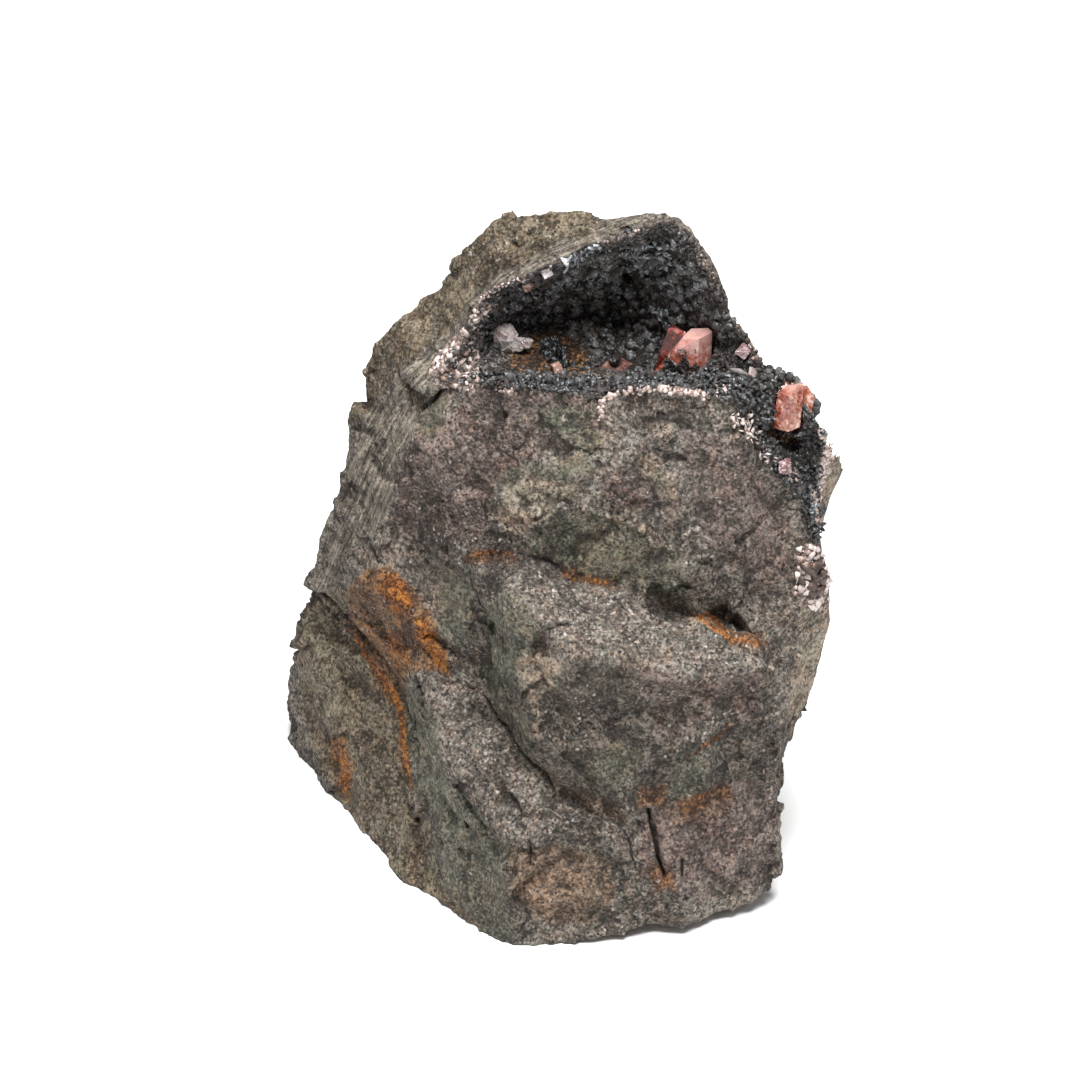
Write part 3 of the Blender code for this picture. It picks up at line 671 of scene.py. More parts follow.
def folded(places):
    """Heights of all the folds: each is a ridge or a valley whose two sides slope evenly away."""
    lift = np.zeros(len(places))
    for line, height, left, right in FOLDS.values():
        near = near_box(places, line, max(left, right))
        distance, along, side = line_distance(places[near], line)
        total = sum(math.dist(a, b) for a, b in zip(line[:-1], line[1:]))
        ends = ramped(np.minimum(along, total - along) / total, -0.08, 0.16)
        slope = np.clip(1 - distance / np.where(side > 0, right, left), 0, None)
        lift[near] += height * slope * ends
    return lift


def facets_at(points, size, shift, hollow=0.6):
    """Flat facets of about this size, tilted at random, that meet in sharp ridges.

    Gives their heights, how far each leans back to the light, which the rock's finish uses to paint light
    and shade, and how warm its colour is, from 0 to 1.
    """
    bend = np.column_stack([noise_at(points, size * 0.7, shift + step, 2) for step in (11.3, 23.9, 47.1)])
    chosen = []
    for place in (points / size + shift + 0.25 * bend).tolist():
        spot = Vector(place)
        planes = []
        for distance, seed in zip(*noise.voronoi(place)):
            tilt = noise.cell_vector(seed) - HALF
            height = 2 * tilt.dot(spot - seed) + hollow * distance * distance
            planes.append((height, 0.5 - tilt.z, 0.5 + tilt.x))
        chosen.append(min(planes))
    heights, lights, warmths = np.array(chosen).T
    return np.clip(heights - np.median(heights), -0.45, 0.55), lights, warmths


def knobs_at(points, size, shift):
    """Heights of rounded knobs of about this size, packed side by side."""
    return np.array([1 - noise.voronoi(place)[0][0] for place in (points / size + shift).tolist()])


def read_mesh(mesh):
    """Points and normals of a mesh, in millimetres."""
    points = np.empty(len(mesh.vertices) * 3)
    normals = np.empty(len(mesh.vertices) * 3, np.float32)
    mesh.vertices.foreach_get("co", points)
    mesh.vertex_normals.foreach_get("vector", normals)
    return points.reshape(-1, 3) / MM, normals.reshape(-1, 3).astype(float)


def write_points(mesh, points):
    mesh.vertices.foreach_set("co", (points * MM).ravel())
    mesh.update()


def smoothed(mesh, values, rounds):
    """Values at a mesh's points, averaged with their neighbours a number of times."""
    edges = np.empty(len(mesh.edges) * 2, np.int32)
    mesh.edges.foreach_get("vertices", edges)
    first, second = edges.reshape(-1, 2).T
    count = len(mesh.vertices)
    degree = np.bincount(first, minlength=count) + np.bincount(second, minlength=count) + 1
    for _ in range(rounds):
        columns = []
        for column in values.T:
            total = np.bincount(first, column[second], count) + np.bincount(second, column[first], count)
            columns.append((total + column) / degree)
        values = np.column_stack(columns)
    return values


def set_mark(mesh, name, values):
    mesh.attributes.new(name, "FLOAT", "POINT").data.foreach_set("value", values.astype(np.float32))


def link(name, data, material=None):
    """A new object of a mesh, light or camera, with its one material."""
    piece = bpy.data.objects.new(name, data)
    bpy.context.collection.objects.link(piece)
    if material:
        data.materials.clear()
        data.materials.append(material)
    return piece


def with_modifier(piece, kind, settings):
    """Applies one modifier to a piece's mesh."""
    modifier = piece.modifiers.new(kind, kind)
    for name, value in settings.items():
        setattr(modifier, name, value)
    graph = bpy.context.evaluated_depsgraph_get()
    made = bpy.data.meshes.new_from_object(piece.evaluated_get(graph))
    piece.modifiers.clear()
    old = piece.data
    piece.data = made
    bpy.data.meshes.remove(old)


def hand_over(piece, slot, nodes=()):
    """The piece rides on the rock's body and stands for these nodes, which are hidden. The slot is not
    used.
    """
    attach(piece, "root")
    if nodes:
        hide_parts(*nodes)
    return piece


def crystal_tree():
    """All the crystals' CAD solids, to find how near they are."""
    points, faces = [], []
    for name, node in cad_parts.items():
        if name == "matrix":
            continue
        first = len(points)
        points += [vert.co / MM for vert in node.data.vertices]
        faces += [[first + i for i in polygon.vertices] for polygon in node.data.polygons]
    return BVHTree.FromPolygons(points, faces)


def room_round(crystals, points, reach):
    """0 at the crystals and 1 from this reach on, so that the rock isn't roughened over them."""
    room = np.ones(len(points))
    low = min(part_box(name)[0].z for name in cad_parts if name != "matrix") / MM - reach
    for i in np.flatnonzero(points[:, 2] > low):
        found = crystals.find_nearest(points[i], reach)
        if found[3] is not None:
            room[i] = found[3] / reach
    return room


def shape_rock(piece, crystals):
    """Folds and breaks the plain faces, and cuts the cracks, flakes and pits."""
    mesh = piece.data
    points, normals = read_mesh(mesh)
    normals = unit(smoothed(mesh, normals, 6))
    places = photo_place(points)
    front = ramped(facing(points, normals), 0.02, 0.2)
    hollow = patch(places, [HOLLOW], 6) * front
    wall = patch(places, [HOLLOW_WALL], 12) * front
    smooth = patch(places, TONES["olive"], 8) * front
    room = ramped(room_round(crystals, points, ROOM_ROUND_CRYSTALS), 0.15, 1)
    room *= 1 - 0.75 * ramped(points[:, 0], *SLAB_END)
    open_rock = room * (1 - 0.85 * hollow)
    wander = drift(points)
    lift = folded(places + wander) * front * (1 - hollow)
    broad, broad_painted_light, broad_warmth = facets_at(points * SHEAR, FACET_SIZES[0], 3.7)
    middle, middle_painted_light, middle_warmth = facets_at(points * SHEAR, FACET_SIZES[1], 6.1)
    small = facets_at(points, FACET_SIZES[2], 9.2)[0]
    lift += FACET_HEIGHTS[0] * broad * open_rock
    lift += FACET_HEIGHTS[1] * middle * open_rock * (1 - 0.4 * smooth)
    lift += FACET_HEIGHTS[2] * small * open_rock * (1 - 0.7 * smooth)
    lift += 0.4 * noise_at(points, 9, 5.3, 2)
    lift += wall * KNOB_HEIGHT * (knobs_at(points, KNOB_SIZE, 1.9) - 0.5)
    # Painted light and shade: each facet's lean back towards the light, for the rock's finish to paint it
    # lighter or darker.
    set_mark(mesh, "light", 0.5 * broad_painted_light + 0.5 * middle_painted_light)
    set_mark(mesh, "warmth", 0.4 * broad_warmth + 0.6 * middle_warmth)
    points += normals * (lift * room)[:, None]
    fine = 0.1 * noise_at(points, 1.3, 2.3, 3) * (1 - 0.6 * smooth)
    for outline, height, full, gone in FLAKES.values():
        share = 1 - ramped(places[:, 0], full, gone)
        fine += height * share * patch(places + 0.6 * wander, [outline], 1.5) * front
    for share, depth in cracks_at(points, places + 0.4 * wander):
        fine -= depth * share * front
    points += normals * (fine * np.minimum(1, room + 0.2))[:, None]
    for outline, depth in PITS.values():
        points += AHEAD * (depth * patch(places, [outline], 4) * front)[:, None]
    write_points(mesh, points)


def mark_rock(piece):
    """Writes how strong each tone is at each point of the rock, for its finish to read."""
    mesh = piece.data
    points, normals = read_mesh(mesh)
    points[:, 2] = np.maximum(points[:, 2], 0)
    write_points(mesh, points)
    soft_normals = smoothed(mesh, normals, 4)
    places = photo_place(points)
    wander = drift(points)
    front = ramped(facing(points, soft_normals), 0.0, 0.15)
    for name, outlines in TONES.items():
        set_mark(mesh, name, patch(places + wander, outlines, TONE_SOFTNESS) * front)
    pale = [BEAD_GROUND] + [outline for grounds in GRAIN_GROUNDS for outline in grounds[0]]
    set_mark(mesh, "pale", patch(places + 0.5 * wander, pale, 3) * front)
    rust = patch(places + wander, RUST, RUST_SOFTNESS)
    for line, width in RUST_LINES.values():
        rust = np.maximum(rust, groove(places + 0.6 * wander, line, width * 1.6))
    set_mark(mesh, "rust", rust * front)
    set_mark(mesh, "black", patch(places + wander, [HOLLOW], 5) * front)
    set_mark(mesh, "dust", patch(places + wander, DUSTY_FLOOR, 10) * front)
    crack = np.zeros(len(points))
    for share, _ in cracks_at(points, places + 0.4 * wander):
        crack = np.maximum(crack, share)
    set_mark(mesh, "crack", crack * front)
    across, along, side = line_distance(places, GRAIN_LINE)
    set_mark(mesh, "grain_across", across * side / PIXELS_PER_MM)
    set_mark(mesh, "grain_along", along / PIXELS_PER_MM)
    # How far each point stands out from its neighbours, which the finish uses to paint shade in hollow
    # places.
    bulge = ((points - smoothed(mesh, points, 5)) * normals).sum(axis=1)
    set_mark(mesh, "bulge", bulge)


# How strongly each tone covers the rock, and its dark, middle and light colours
TONE_COLORS = {
    "ash": (0.5, "453f3a", "827a73", "aea69d"),
    "dusk": (0.75, "231f1b", "4a443d", "71695f"),
    # Painted shade below the ridges and on the lower and top-left faces.
    "umber": (0.7, "302719", "5f523f", "8c7f67"),
    "brown": (0.7, "2f2523", "5c4c47", "877670"),
    "olive": (0.8, "2b2c23", "525144", "7c7864"),
    "tan": (0.75, "5a5145", "8b7e6e", "b6a996"),
    "ochre": (0.5, "3d2c1e", "6b523c", "937252"),
    # Painted shade in the recesses, creases and under the ledges.
    "shade": (0.7, "1e1a16", "37322b", "544d44"),
    "stain": (0.7, "2b170b", "5e3c1d", "8f6230"),
    "pale": (0.9, "2f2723", "655850", "a4958c"),
}


def rock_finish():
    """Fine-grained rock: torn patches of each tone, flakes, flecks, sheared grain, rust and black oxide,
    with painted light and shade on the facets, in hollow places and in some of the tones.
    """
    f = Finish("rock", {"Specular IOR Level": 0.4})
    place = f.place()
    blot = f.noise(place, 4, 5, 0.7, 0.4)
    grain = f.noise(place, 0.65, 4, 0.75)
    tear = f.noise(place, 2.4, 5, 0.75)
    hue = f.noise(place, 3.1, 4, 0.7, 0.5) + (f.mark("warmth") - 0.5) * 0.2
    shaken = f.shaken(place, 0.8, 0.5)
    cells = f.cells(shaken, 0.5)
    pick, kind = f.part(cells, 0), f.part(cells, 1)
    plates = f.part(f.cells(f.shaken(place, 1.6, 1.3), 0.9), 2)
    vein = f.noise(place, 2.2, 4, 0.65, 1.2) - 0.5
    thread = f.node("ShaderNodeMath", {"operation": "ABSOLUTE"}, {0: vein})
    # Painted light and shade: facets that lean back towards the light are painted lighter, the others
    # darker.
    value = blot * 0.12 + grain * 0.63 + kind * 0.16 + plates * 0.09 + (f.mark("light") - 0.5) * 0.14
    color = f.ramp(value, [
        (0.36, "24201d"), (0.44, "443d38"), (0.5, "5b544d"), (0.56, "736b62"),
        (0.66, "9f968b"),
    ])
    for name, (share, *tones) in TONE_COLORS.items():
        if name != "pale":
            color = f.toned(color, value, f.torn(name, tear, 1.1, 0.3) * share, tones)
    color = f.color(f.rise(hue, 0.5, 0.62) * 0.9, color, (1.12, 0.98, 0.89), "MULTIPLY")
    color = f.color(f.rise(hue, 0.48, 0.38) * 0.9, color, (0.94, 1.0, 0.97), "MULTIPLY")
    light_thread = f.rise(thread, 0.022, 0.0) * f.rise(tear, 0.47, 0.6)
    color = f.color(light_thread * 0.55, color, "b5aa9e")
    dark_thread = f.rise(thread, 0.035, 0.0) * f.rise(tear, 0.5, 0.4)
    color = f.color(dark_thread * 0.65, color, "1c1815")
    striae = f.torn("striae", tear, 0.7, 0.25)
    run = f.node("ShaderNodeCombineXYZ", inputs={
        "X": f.mark("grain_across") * 1.6, "Y": f.mark("grain_along") * 0.1, "Z": 0,
    })
    fibre = f.node("ShaderNodeTexNoise", inputs={"Vector": run, "Scale": 1, "Detail": 5, "Roughness": 0.75})
    color = f.color(striae * 0.85, color, f.ramp(fibre * 0.65 + grain * 0.35, [
        (0.41, "322d27"), (0.48, "645c51"), (0.53, "867d70"), (0.6, "b3a999"),
    ]))
    grit = f.torn("grit", tear, 1.0, 0.35)
    crowd = f.rise(blot, 0.45, 0.6) * 0.05 + grit * 0.05
    flecks = f.rise(pick + crowd, 0.97, 1.05)
    color = f.color(flecks * 0.65, color, f.ramp(kind, [
        (0.1, "83705f"), (0.35, "a89383"), (0.6, "c4b5aa"), (0.8, "8f979c"),
        (0.95, "d8cec8"),
    ]))
    specks = f.rise(pick, 0.08, 0.04)
    color = f.color(specks * 0.8, color, "1d1917")
    # Painted shade: the rock is darkened where its surface is hollow.
    painted_hollow_shade = f.rise(f.mark("bulge") + (grain - 0.5) * 0.3, -0.04, -0.2)
    color = f.color(painted_hollow_shade * 0.5, color, "1f1b17")
    crack = f.rise(f.mark("crack") + (grain - 0.5) * 0.8, 0.3, 0.75)
    color = f.color(crack * 0.85, color, "15110e")
    black = f.torn("black", tear, 0.6, 0.15)
    color = f.color(black, color, f.ramp(value, [
        (0.4, "120f0e"), (0.48, "2e2824"), (0.54, "4b443f"), (0.6, "7d7874"),
    ]))
    share, *tones = TONE_COLORS["pale"]
    color = f.toned(color, value, f.torn("pale", tear, 1.2, 0.2) * share, tones)
    dust = f.torn("dust", tear, 1.8, 0.4)
    color = f.color(dust * 0.85, color, f.ramp(value, [
        (0.42, "150d08"), (0.5, "3a2411"), (0.56, "6c4621"), (0.64, "ab7e42"),
    ]))
    level = f.mark("rust") + (tear - 0.5) * 1.8 + (grain - 0.5) * 1.0
    color = f.color(f.rise(level, 0.35, 1.0) * 0.9, color, f.ramp(value, [
        (0.42, "41200e"), (0.48, "6f3c14"), (0.54, "98591c"), (0.62, "bd7c2d"),
    ]))
    height = blot * 0.7 + grain * 0.9 + kind * 0.16 + plates * 0.4 + fibre * striae * 0.9
    rough = 0.85 - flecks * 0.4 - f.mark("olive") * 0.12
    return f.finish(base_color=color, roughness=rough, normal=f.bump(height, 1.0, 0.6))


def build_rock(crystals):
    rock = link("rock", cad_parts["matrix"].data.copy())
    with_modifier(rock, "REMESH", {"mode": "VOXEL", "voxel_size": ROCK_VOXEL * MM})
    shape_rock(rock, crystals)
    faces = 2 * len(rock.data.polygons)
    with_modifier(rock, "DECIMATE", {"ratio": MOST_ROCK_FACES / faces})
    mark_rock(rock)
    rock.data.shade_smooth()
    rock.data.materials.clear()
    rock.data.materials.append(rock_finish())
    return hand_over(rock, "rock", ["matrix"])


def shape_of(mesh):
    """The points and triangles of a small mesh, which is freed."""
    bmesh.ops.triangulate(mesh, faces=mesh.faces)
    mesh.verts.index_update()
    points = np.array([vert.co for vert in mesh.verts])
    faces = np.array([[vert.index for vert in face.verts] for face in mesh.faces])
    mesh.free()
    return points, faces


def hull_shape(corners):
    mesh = bmesh.new()
    for corner in corners:
        mesh.verts.new(corner)
    made = bmesh.ops.convex_hull(mesh, input=mesh.verts)
    loose = {v for v in made["geom_interior"] + made["geom_unused"] if isinstance(v, bmesh.types.BMVert)}
    bmesh.ops.delete(mesh, geom=list(loose), context="VERTS")
    bmesh.ops.recalc_face_normals(mesh, faces=mesh.faces)
    return shape_of(mesh)


def globe_shape(rng, fineness, roughness):
    """A knob about one unit in radius, with a druse of small faces all over it."""
    mesh = bmesh.new()
    bmesh.ops.create_icosphere(mesh, subdivisions=fineness, radius=1)
    shift = Vector([rng.uniform(0, 50) for _ in range(3)])
    for vert in mesh.verts:
        broad = noise.noise(vert.co * 1.3 + shift) * 0.3
        vert.co *= 1 + broad + rng.uniform(-roughness, roughness)
    return shape_of(mesh)


def chunk_shape(rng, corners=9):
    """A broken angular grain about one unit in radius."""
    ways = [Vector([rng.gauss(0, 1) for _ in range(3)]).normalized() for _ in range(corners)]
    return hull_shape([way * rng.uniform(0.7, 1.1) for way in ways])


def rhomb_shape(rng):
    """A small rhomb crystal with worn corners, standing on one of them."""
    slant = rng.uniform(0.8, 1.0)
    across, rise = math.sin(slant), math.cos(slant)
    angles = [2 * math.pi * i / 3 for i in range(3)]
    edges = [Vector((across * math.cos(angle), across * math.sin(angle), rise)) for angle in angles]
    middle = sum(edges, Vector()) / 2
    corners = [edges[0] * a + edges[1] * b + edges[2] * c - middle for a, b, c in product((0, 1), repeat=3)]
    return hull_shape([corner * rng.uniform(0.85, 1.05) for corner in corners])


def blade_shape(rng):
    """A thin pointed blade that stands up from its foot, one unit long."""
    wide = rng.uniform(0.25, 0.42)
    thick = rng.uniform(0.06, 0.12)
    tip = wide * rng.uniform(-0.3, 0.6)
    outline = [(-wide, -0.3), (wide, -0.3), (wide * 0.9, 0.55), (tip, 1), (-wide, 0.6)]
    return hull_shape([(x, side * thick, z) for x, z in outline for side in (-1, 1)])


class Heap:
    """Small shapes gathered into one mesh, each with a tone of its own."""

    def __init__(self, seed):
        self.rng = random.Random(seed)
        self.points, self.faces, self.tones = [], [], []
        self.count = 0

    def shapes(self, maker, *options, kinds=10):
        return [maker(self.rng, *options) for _ in range(kinds)]

    def add(self, shape, size, place, normal, tilt=0.5, sunk=0.0, tone=None):
        """Stands a shape on a surface, leaning up to the tilt from its normal and sunk into it."""
        rng = self.rng
        up = Vector(normal).to_track_quat("Z", "Y").to_matrix()
        lean = Euler((rng.uniform(-tilt, tilt), rng.uniform(-tilt, tilt), 0)).to_matrix()
        spin = Matrix.Rotation(rng.uniform(0, 2 * math.pi), 3, "Z")
        turned = np.array(up @ lean @ spin) * size
        points, faces = shape
        self.points.append(points @ turned.T + np.array(place) - np.array(normal) * sunk)
        self.faces.append(faces + self.count)
        if tone is None:
            tone = rng.random()
        self.tones.append(np.zeros(len(points)) + tone)
        self.count += len(points)

    def piece(self, name, material):
        points = np.vstack(self.points)
        faces = np.vstack(self.faces)
        mesh = bpy.data.meshes.new(name)
        mesh.vertices.add(len(points))
        mesh.vertices.foreach_set("co", (points * MM).ravel())
        mesh.loops.add(faces.size)
        mesh.loops.foreach_set("vertex_index", faces.ravel())
        mesh.polygons.add(len(faces))
        mesh.polygons.foreach_set("loop_start", np.arange(0, faces.size, 3))
        mesh.update(calc_edges=True)
        set_mark(mesh, "tone", np.concatenate(self.tones))
        return link(name, mesh, material)


class Ground:
    """The finished rock's surface, to strew grains over."""

    def __init__(self, rock):
        mesh = rock.data
        mesh.calc_loop_triangles()
        points, normals = read_mesh(mesh)
        corners = np.empty(len(mesh.loop_triangles) * 3, np.int32)
        mesh.loop_triangles.foreach_get("vertices", corners)
        corners = corners.reshape(-1, 3)
        self.corners = points[corners]
        soft = smoothed(mesh, normals, 5)
        self.normals = unit(soft[corners].mean(axis=1))
        middles = self.corners.mean(axis=1)
        self.places = photo_place(middles)
        self.front = facing(middles, self.normals) > 0
        edges = self.corners[:, 1:] - self.corners[:, :1]
        self.areas = np.linalg.norm(np.cross(edges[:, 0], edges[:, 1]), axis=1) / 2

    def strewn(self, outlines, spacing, seed, tries=3, without=()):
        """Points and normals spread over the rock inside outlines, none closer than the spacing."""
        within = np.zeros(len(self.places), bool)
        for outline in outlines:
            within |= inside(self.places, outline)
        for outline in without:
            within &= ~inside(self.places, outline)
        chosen = np.flatnonzero(within & self.front)
        areas = self.areas[chosen]
        rng = np.random.default_rng(seed)
        count = int(tries * areas.sum() / spacing ** 2)
        picked = rng.choice(chosen, count, p=areas / areas.sum())
        first, second = rng.random((2, count))
        flip = first + second > 1
        first[flip], second[flip] = 1 - first[flip], 1 - second[flip]
        a, b, c = self.corners[picked].transpose(1, 0, 2)
        points = a + (b - a) * first[:, None] + (c - a) * second[:, None]
        kept, taken = [], {}
        steps = list(product((-1, 0, 1), repeat=3))
        for i, point in enumerate(points):
            cell = (point // spacing).astype(int)
            room = spacing * rng.uniform(0.45, 1)
            near = [other for step in steps for other in taken.get(tuple(cell + step), ())]
            if all(np.linalg.norm(other - point) > room for other in near):
                taken.setdefault(tuple(cell), []).append(point)
                kept.append((point, self.normals[picked[i]]))
        return kept


def crust_finish(name, dark, light, roughness, gloss=0.6, painted_sparkle_share=0.1):
    """Black oxide: near black, speckled with painted blue-grey highlights, with brown dust and a dull metal
    gloss.
    """
    f = Finish(name, {"Specular IOR Level": gloss})
    place = f.place()
    dust = f.rise(f.noise(place, 4, 3, 0.6), 0.5, 0.62)
    grain = f.noise(place, 0.5, 3, 0.75)
    color = f.ramp(f.mark("tone") * 0.5 + grain * 0.6, [(0.36, dark), (0.85, light)])
    color = f.color(dust * 0.5, color, "2f1f17")
    # Painted highlights: a few small cells are painted light blue-grey, as sparkles.
    pick = f.part(f.cells(f.shaken(place, 0.5, 0.3), 0.4), 0)
    painted_glint = f.rise(pick - dust * 0.08, 1 - painted_sparkle_share, 1.04 - painted_sparkle_share)
    color = f.color(painted_glint * 0.8, color, "9aa1a6")
    rough = f.rise(grain, 0.3, 0.7) * 0.3 + roughness
    return f.finish(base_color=color, roughness=rough, normal=f.bump(grain, 1.0, 0.4))


def spread_in(outline, step, seed):
    """Pixels spread over an outline, a step apart and a little out of line."""
    rng = np.random.default_rng(seed)
    low, high = np.min(outline, axis=0), np.max(outline, axis=0)
    across, down = np.meshgrid(np.arange(low[0], high[0], step), np.arange(low[1], high[1], step))
    places = np.column_stack((across.ravel(), down.ravel()))
    places += rng.uniform(-0.5, 0.5, places.shape) * step
    return places[inside(places, outline)]


def clear_of(tree, point, margin):
    """True where no crystal is nearer than the margin."""
    return tree.find_nearest(Vector(point), margin)[0] is None


def build_globules(ground, crystals):
    """Rough knobs all over the back wall, with painted light on the top of each and painted shade at its
    foot.
    """
    heap = Heap(11)
    knobs = heap.shapes(globe_shape, 3, 0.15)
    for point, normal in ground.strewn([HOLLOW_WALL], 2.5, 5, tries=2.5):
        size = heap.rng.uniform(0.8, 1.5)
        if clear_of(crystals, point, size * 0.9):
            shape = heap.rng.choice(knobs)
            # Painted light and shade: the tone of each knob rises from dark at its foot to light at its
            # top.
            painted_crown_light = 0.05 + heap.rng.uniform(0.5, 0.9) * ramped(shape[0][:, 2], 0.1, 1.0)
            heap.add(shape, size, point, normal, sunk=size * 0.3, tone=painted_crown_light)
    finish = crust_finish("black_crust", "0e0c0b", "7c7976", 0.5, 0.35, 0.2)
    return hand_over(heap.piece("black_globules", finish), "black_oxide")


def build_druse(ground, crystals):
    """Small black chunks over the hollow and on the two crystals, and knobs on the right edge."""
    heap = Heap(12)
    chunks = heap.shapes(chunk_shape, kinds=16)
    for spacing, low, high, without in (
        (0.95, 0.22, 1.1, [HOLLOW_WALL, RING_ROOM] + DUSTY_FLOOR),
        (1.5, 0.15, 0.5, DUSTY_FLOOR),
        (2.2, 0.25, 0.8, [HOLLOW_WALL]),
    ):
        for point, normal in ground.strewn([HOLLOW], spacing, 6, tries=1.8, without=without):
            size = heap.rng.triangular(low, high, low * 1.5)
            if clear_of(crystals, point, size * 0.5):
                heap.add(heap.rng.choice(chunks), size, point, normal, sunk=size * 0.1)
    for outline, low, high in [(CRYSTAL_FOOT, 0.3, 0.65)] + [(spot, 0.15, 0.32) for spot in CRYSTAL_SPOTS]:
        for pixel in spread_in(outline, 1.5, 3):
            met = seen_on(crystals, pixel)
            if met:
                heap.add(heap.rng.choice(chunks), heap.rng.uniform(low, high), *met, sunk=0.1, tone=0.0)
    knobs = heap.shapes(globe_shape, 2, 0.16)
    for pixel in spread_in(EDGE_CRUST, 3.6, 4):
        point = on_sight_line(pixel, EDGE_CRUST_Y + heap.rng.uniform(-1, 1))
        heap.add(heap.rng.choice(knobs), heap.rng.uniform(0.6, 1.2), point, UPWARD)
    finish = crust_finish("black_druse", "0e0d0d", "5a5654", 0.35, painted_sparkle_share=0.11)
    return hand_over(heap.piece("black_druse", finish), "black_oxide")


def build_laths(ground, crystals):
    """Flat black laths, which stand closest on the front lip."""
    heap = Heap(13)
    blades = heap.shapes(blade_shape, kinds=16)
    for outlines, spacing, low, high in LATH_GROUNDS:
        for point, normal in ground.strewn(outlines, spacing, 7, without=[RING_ROOM]):
            size = heap.rng.triangular(low, high, low)
            if clear_of(crystals, point, size * 0.5):
                heap.add(heap.rng.choice(blades), size, point, normal, tilt=1.2)
    finish = crust_finish("black_laths", "0d0c0c", "545353", 0.3, painted_sparkle_share=0.12)
    return hand_over(heap.piece("black_laths", finish), "black_oxide")


def build_silver(ground):
    """The bright blue-grey flakes near the top of the back wall."""
    heap = Heap(16)
    blades = heap.shapes(blade_shape, kinds=10)
    for point, normal in ground.strewn(SILVER_GROUNDS, 1.1, 3):
        heap.add(heap.rng.choice(blades), heap.rng.uniform(1.0, 1.9), point, normal, tilt=1.2)
    finish = crust_finish("silver_flakes", "3c3f43", "d5dade", 0.2)
    return hand_over(heap.piece("silver_flakes", finish), "black_oxide")


def carbonate_finish():
    """Pale carbonate: cream to pinkish white, a little see-through at thin edges, stained in places."""
    f = Finish("pale_carbonate", {"Specular IOR Level": 0.5, "Subsurface Weight": 0.15,
                                  "Subsurface Radius": (0.8 * MM, 0.4 * MM, 0.3 * MM)})
    place = f.place()
    stain = f.noise(place, 2.4, 3, 0.6)
    grain = f.noise(place, 0.4, 2, 0.6)
    color = f.ramp(f.mark("tone") + (grain - 0.5) * 0.6, [
        (0.0, "4b3d37"), (0.25, "7d6a62"), (0.5, "a8958d"), (0.75, "c2b1aa"),
        (1.0, "dccfca"),
    ])
    color = f.color(f.rise(stain, 0.58, 0.72) * 0.7, color, "9c7a64")
    return f.finish(base_color=color, roughness=f.rise(grain, 0.2, 0.8) * 0.3 + 0.35,
                    normal=f.bump(grain, 0.5, 0.1))


def build_seams(ground, finish):
    """Pale grains along the hollow's rim: rounded in front, angular on the left and right."""
    heap = Heap(14)
    beads = heap.shapes(globe_shape, 2, 0.08)
    chunks = heap.shapes(chunk_shape, kinds=14) + heap.shapes(rhomb_shape, kinds=6)
    for outline, tone in ((BEAD_GROUND, 0.5), (RIGHT_BEAD_GROUND, 0.65)):
        for point, normal in ground.strewn([outline], 0.6, 4):
            size = heap.rng.triangular(0.2, 0.75, 0.35)
            heap.add(heap.rng.choice(beads), size, point, normal, sunk=size * 0.4,
                     tone=heap.rng.uniform(tone - 0.35, tone + 0.35))
    for outlines, spacing, low, high, tone in GRAIN_GROUNDS:
        for point, normal in ground.strewn(outlines, spacing, 8):
            size = heap.rng.triangular(low, high, low)
            heap.add(heap.rng.choice(chunks), size, point, normal, tilt=1.0, sunk=size * 0.35,
                     tone=heap.rng.uniform(tone - 0.4, tone + 0.4))
    for point, normal in ground.strewn([GLASSY_MIDDLE], 1.6, 9):
        heap.add(heap.rng.choice(chunks), 1.9, point, normal, tone=-0.2)
    return hand_over(heap.piece("pale_seams", finish), "pale_carbonate")


def build_pale_laths(ground, finish):
    heap = Heap(15)
    blades = heap.shapes(blade_shape, kinds=12)
    for outline in PALE_LATHS:
        for point, normal in ground.strewn([outline], 0.75, 9):
            heap.add(heap.rng.choice(blades), heap.rng.uniform(0.5, 1.3), point, normal, tilt=1.1,
                     tone=heap.rng.uniform(0.4, 1))
    return hand_over(heap.piece("pale_laths", finish), "pale_carbonate")


def crystal_finish(name, stops, clear, absorbed, density, frost=None, top=None):
    """Clouded carbonate with veils: a milky share, and a see-through one that is tinted by depth."""
    f = Finish(name, {"IOR": 1.65, "Transmission Weight": clear})
    place = f.place()
    cloud = f.noise(place, 0.8, 4, 0.7, 0.6)
    veil = f.noise(place, 2.6, 3, 0.5)
    color = f.ramp(cloud * 0.6 + veil * 0.4, stops)
    # Painted light: above a height the colour turns to a paler tint, for the light on the crystal's top.
    if top:
        start, end, tint = top
        height = f.node("ShaderNodeSeparateXYZ", inputs={0: place}, output=2)
        painted_top_light = f.rise(height + (veil - 0.5) * (8 * MM), start * MM, end * MM)
        color = f.color(painted_top_light * 0.85, color, tint)
    if frost:
        color = f.color(f.mark("frost") * 0.85, color, frost)
    growth = f.noise(place, 0.4, 3, 0.6)
    volume = f.node("ShaderNodeVolumeAbsorption", inputs={"Color": absorbed, "Density": density})
    f.feed(f.tree.nodes["Material Output"].inputs["Volume"], volume)
    rough = f.rise(growth, 0.5, 0.75) * 0.15 + 0.04
    return f.finish(base_color=color, roughness=rough, normal=f.bump(growth, 0.15, 0.04))


def copy_node(node, name, material):
    """A copy of a crystal's solid. Its triangles aren't joined, so its edges stay hard."""
    return link(name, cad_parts[node].data.copy(), material)


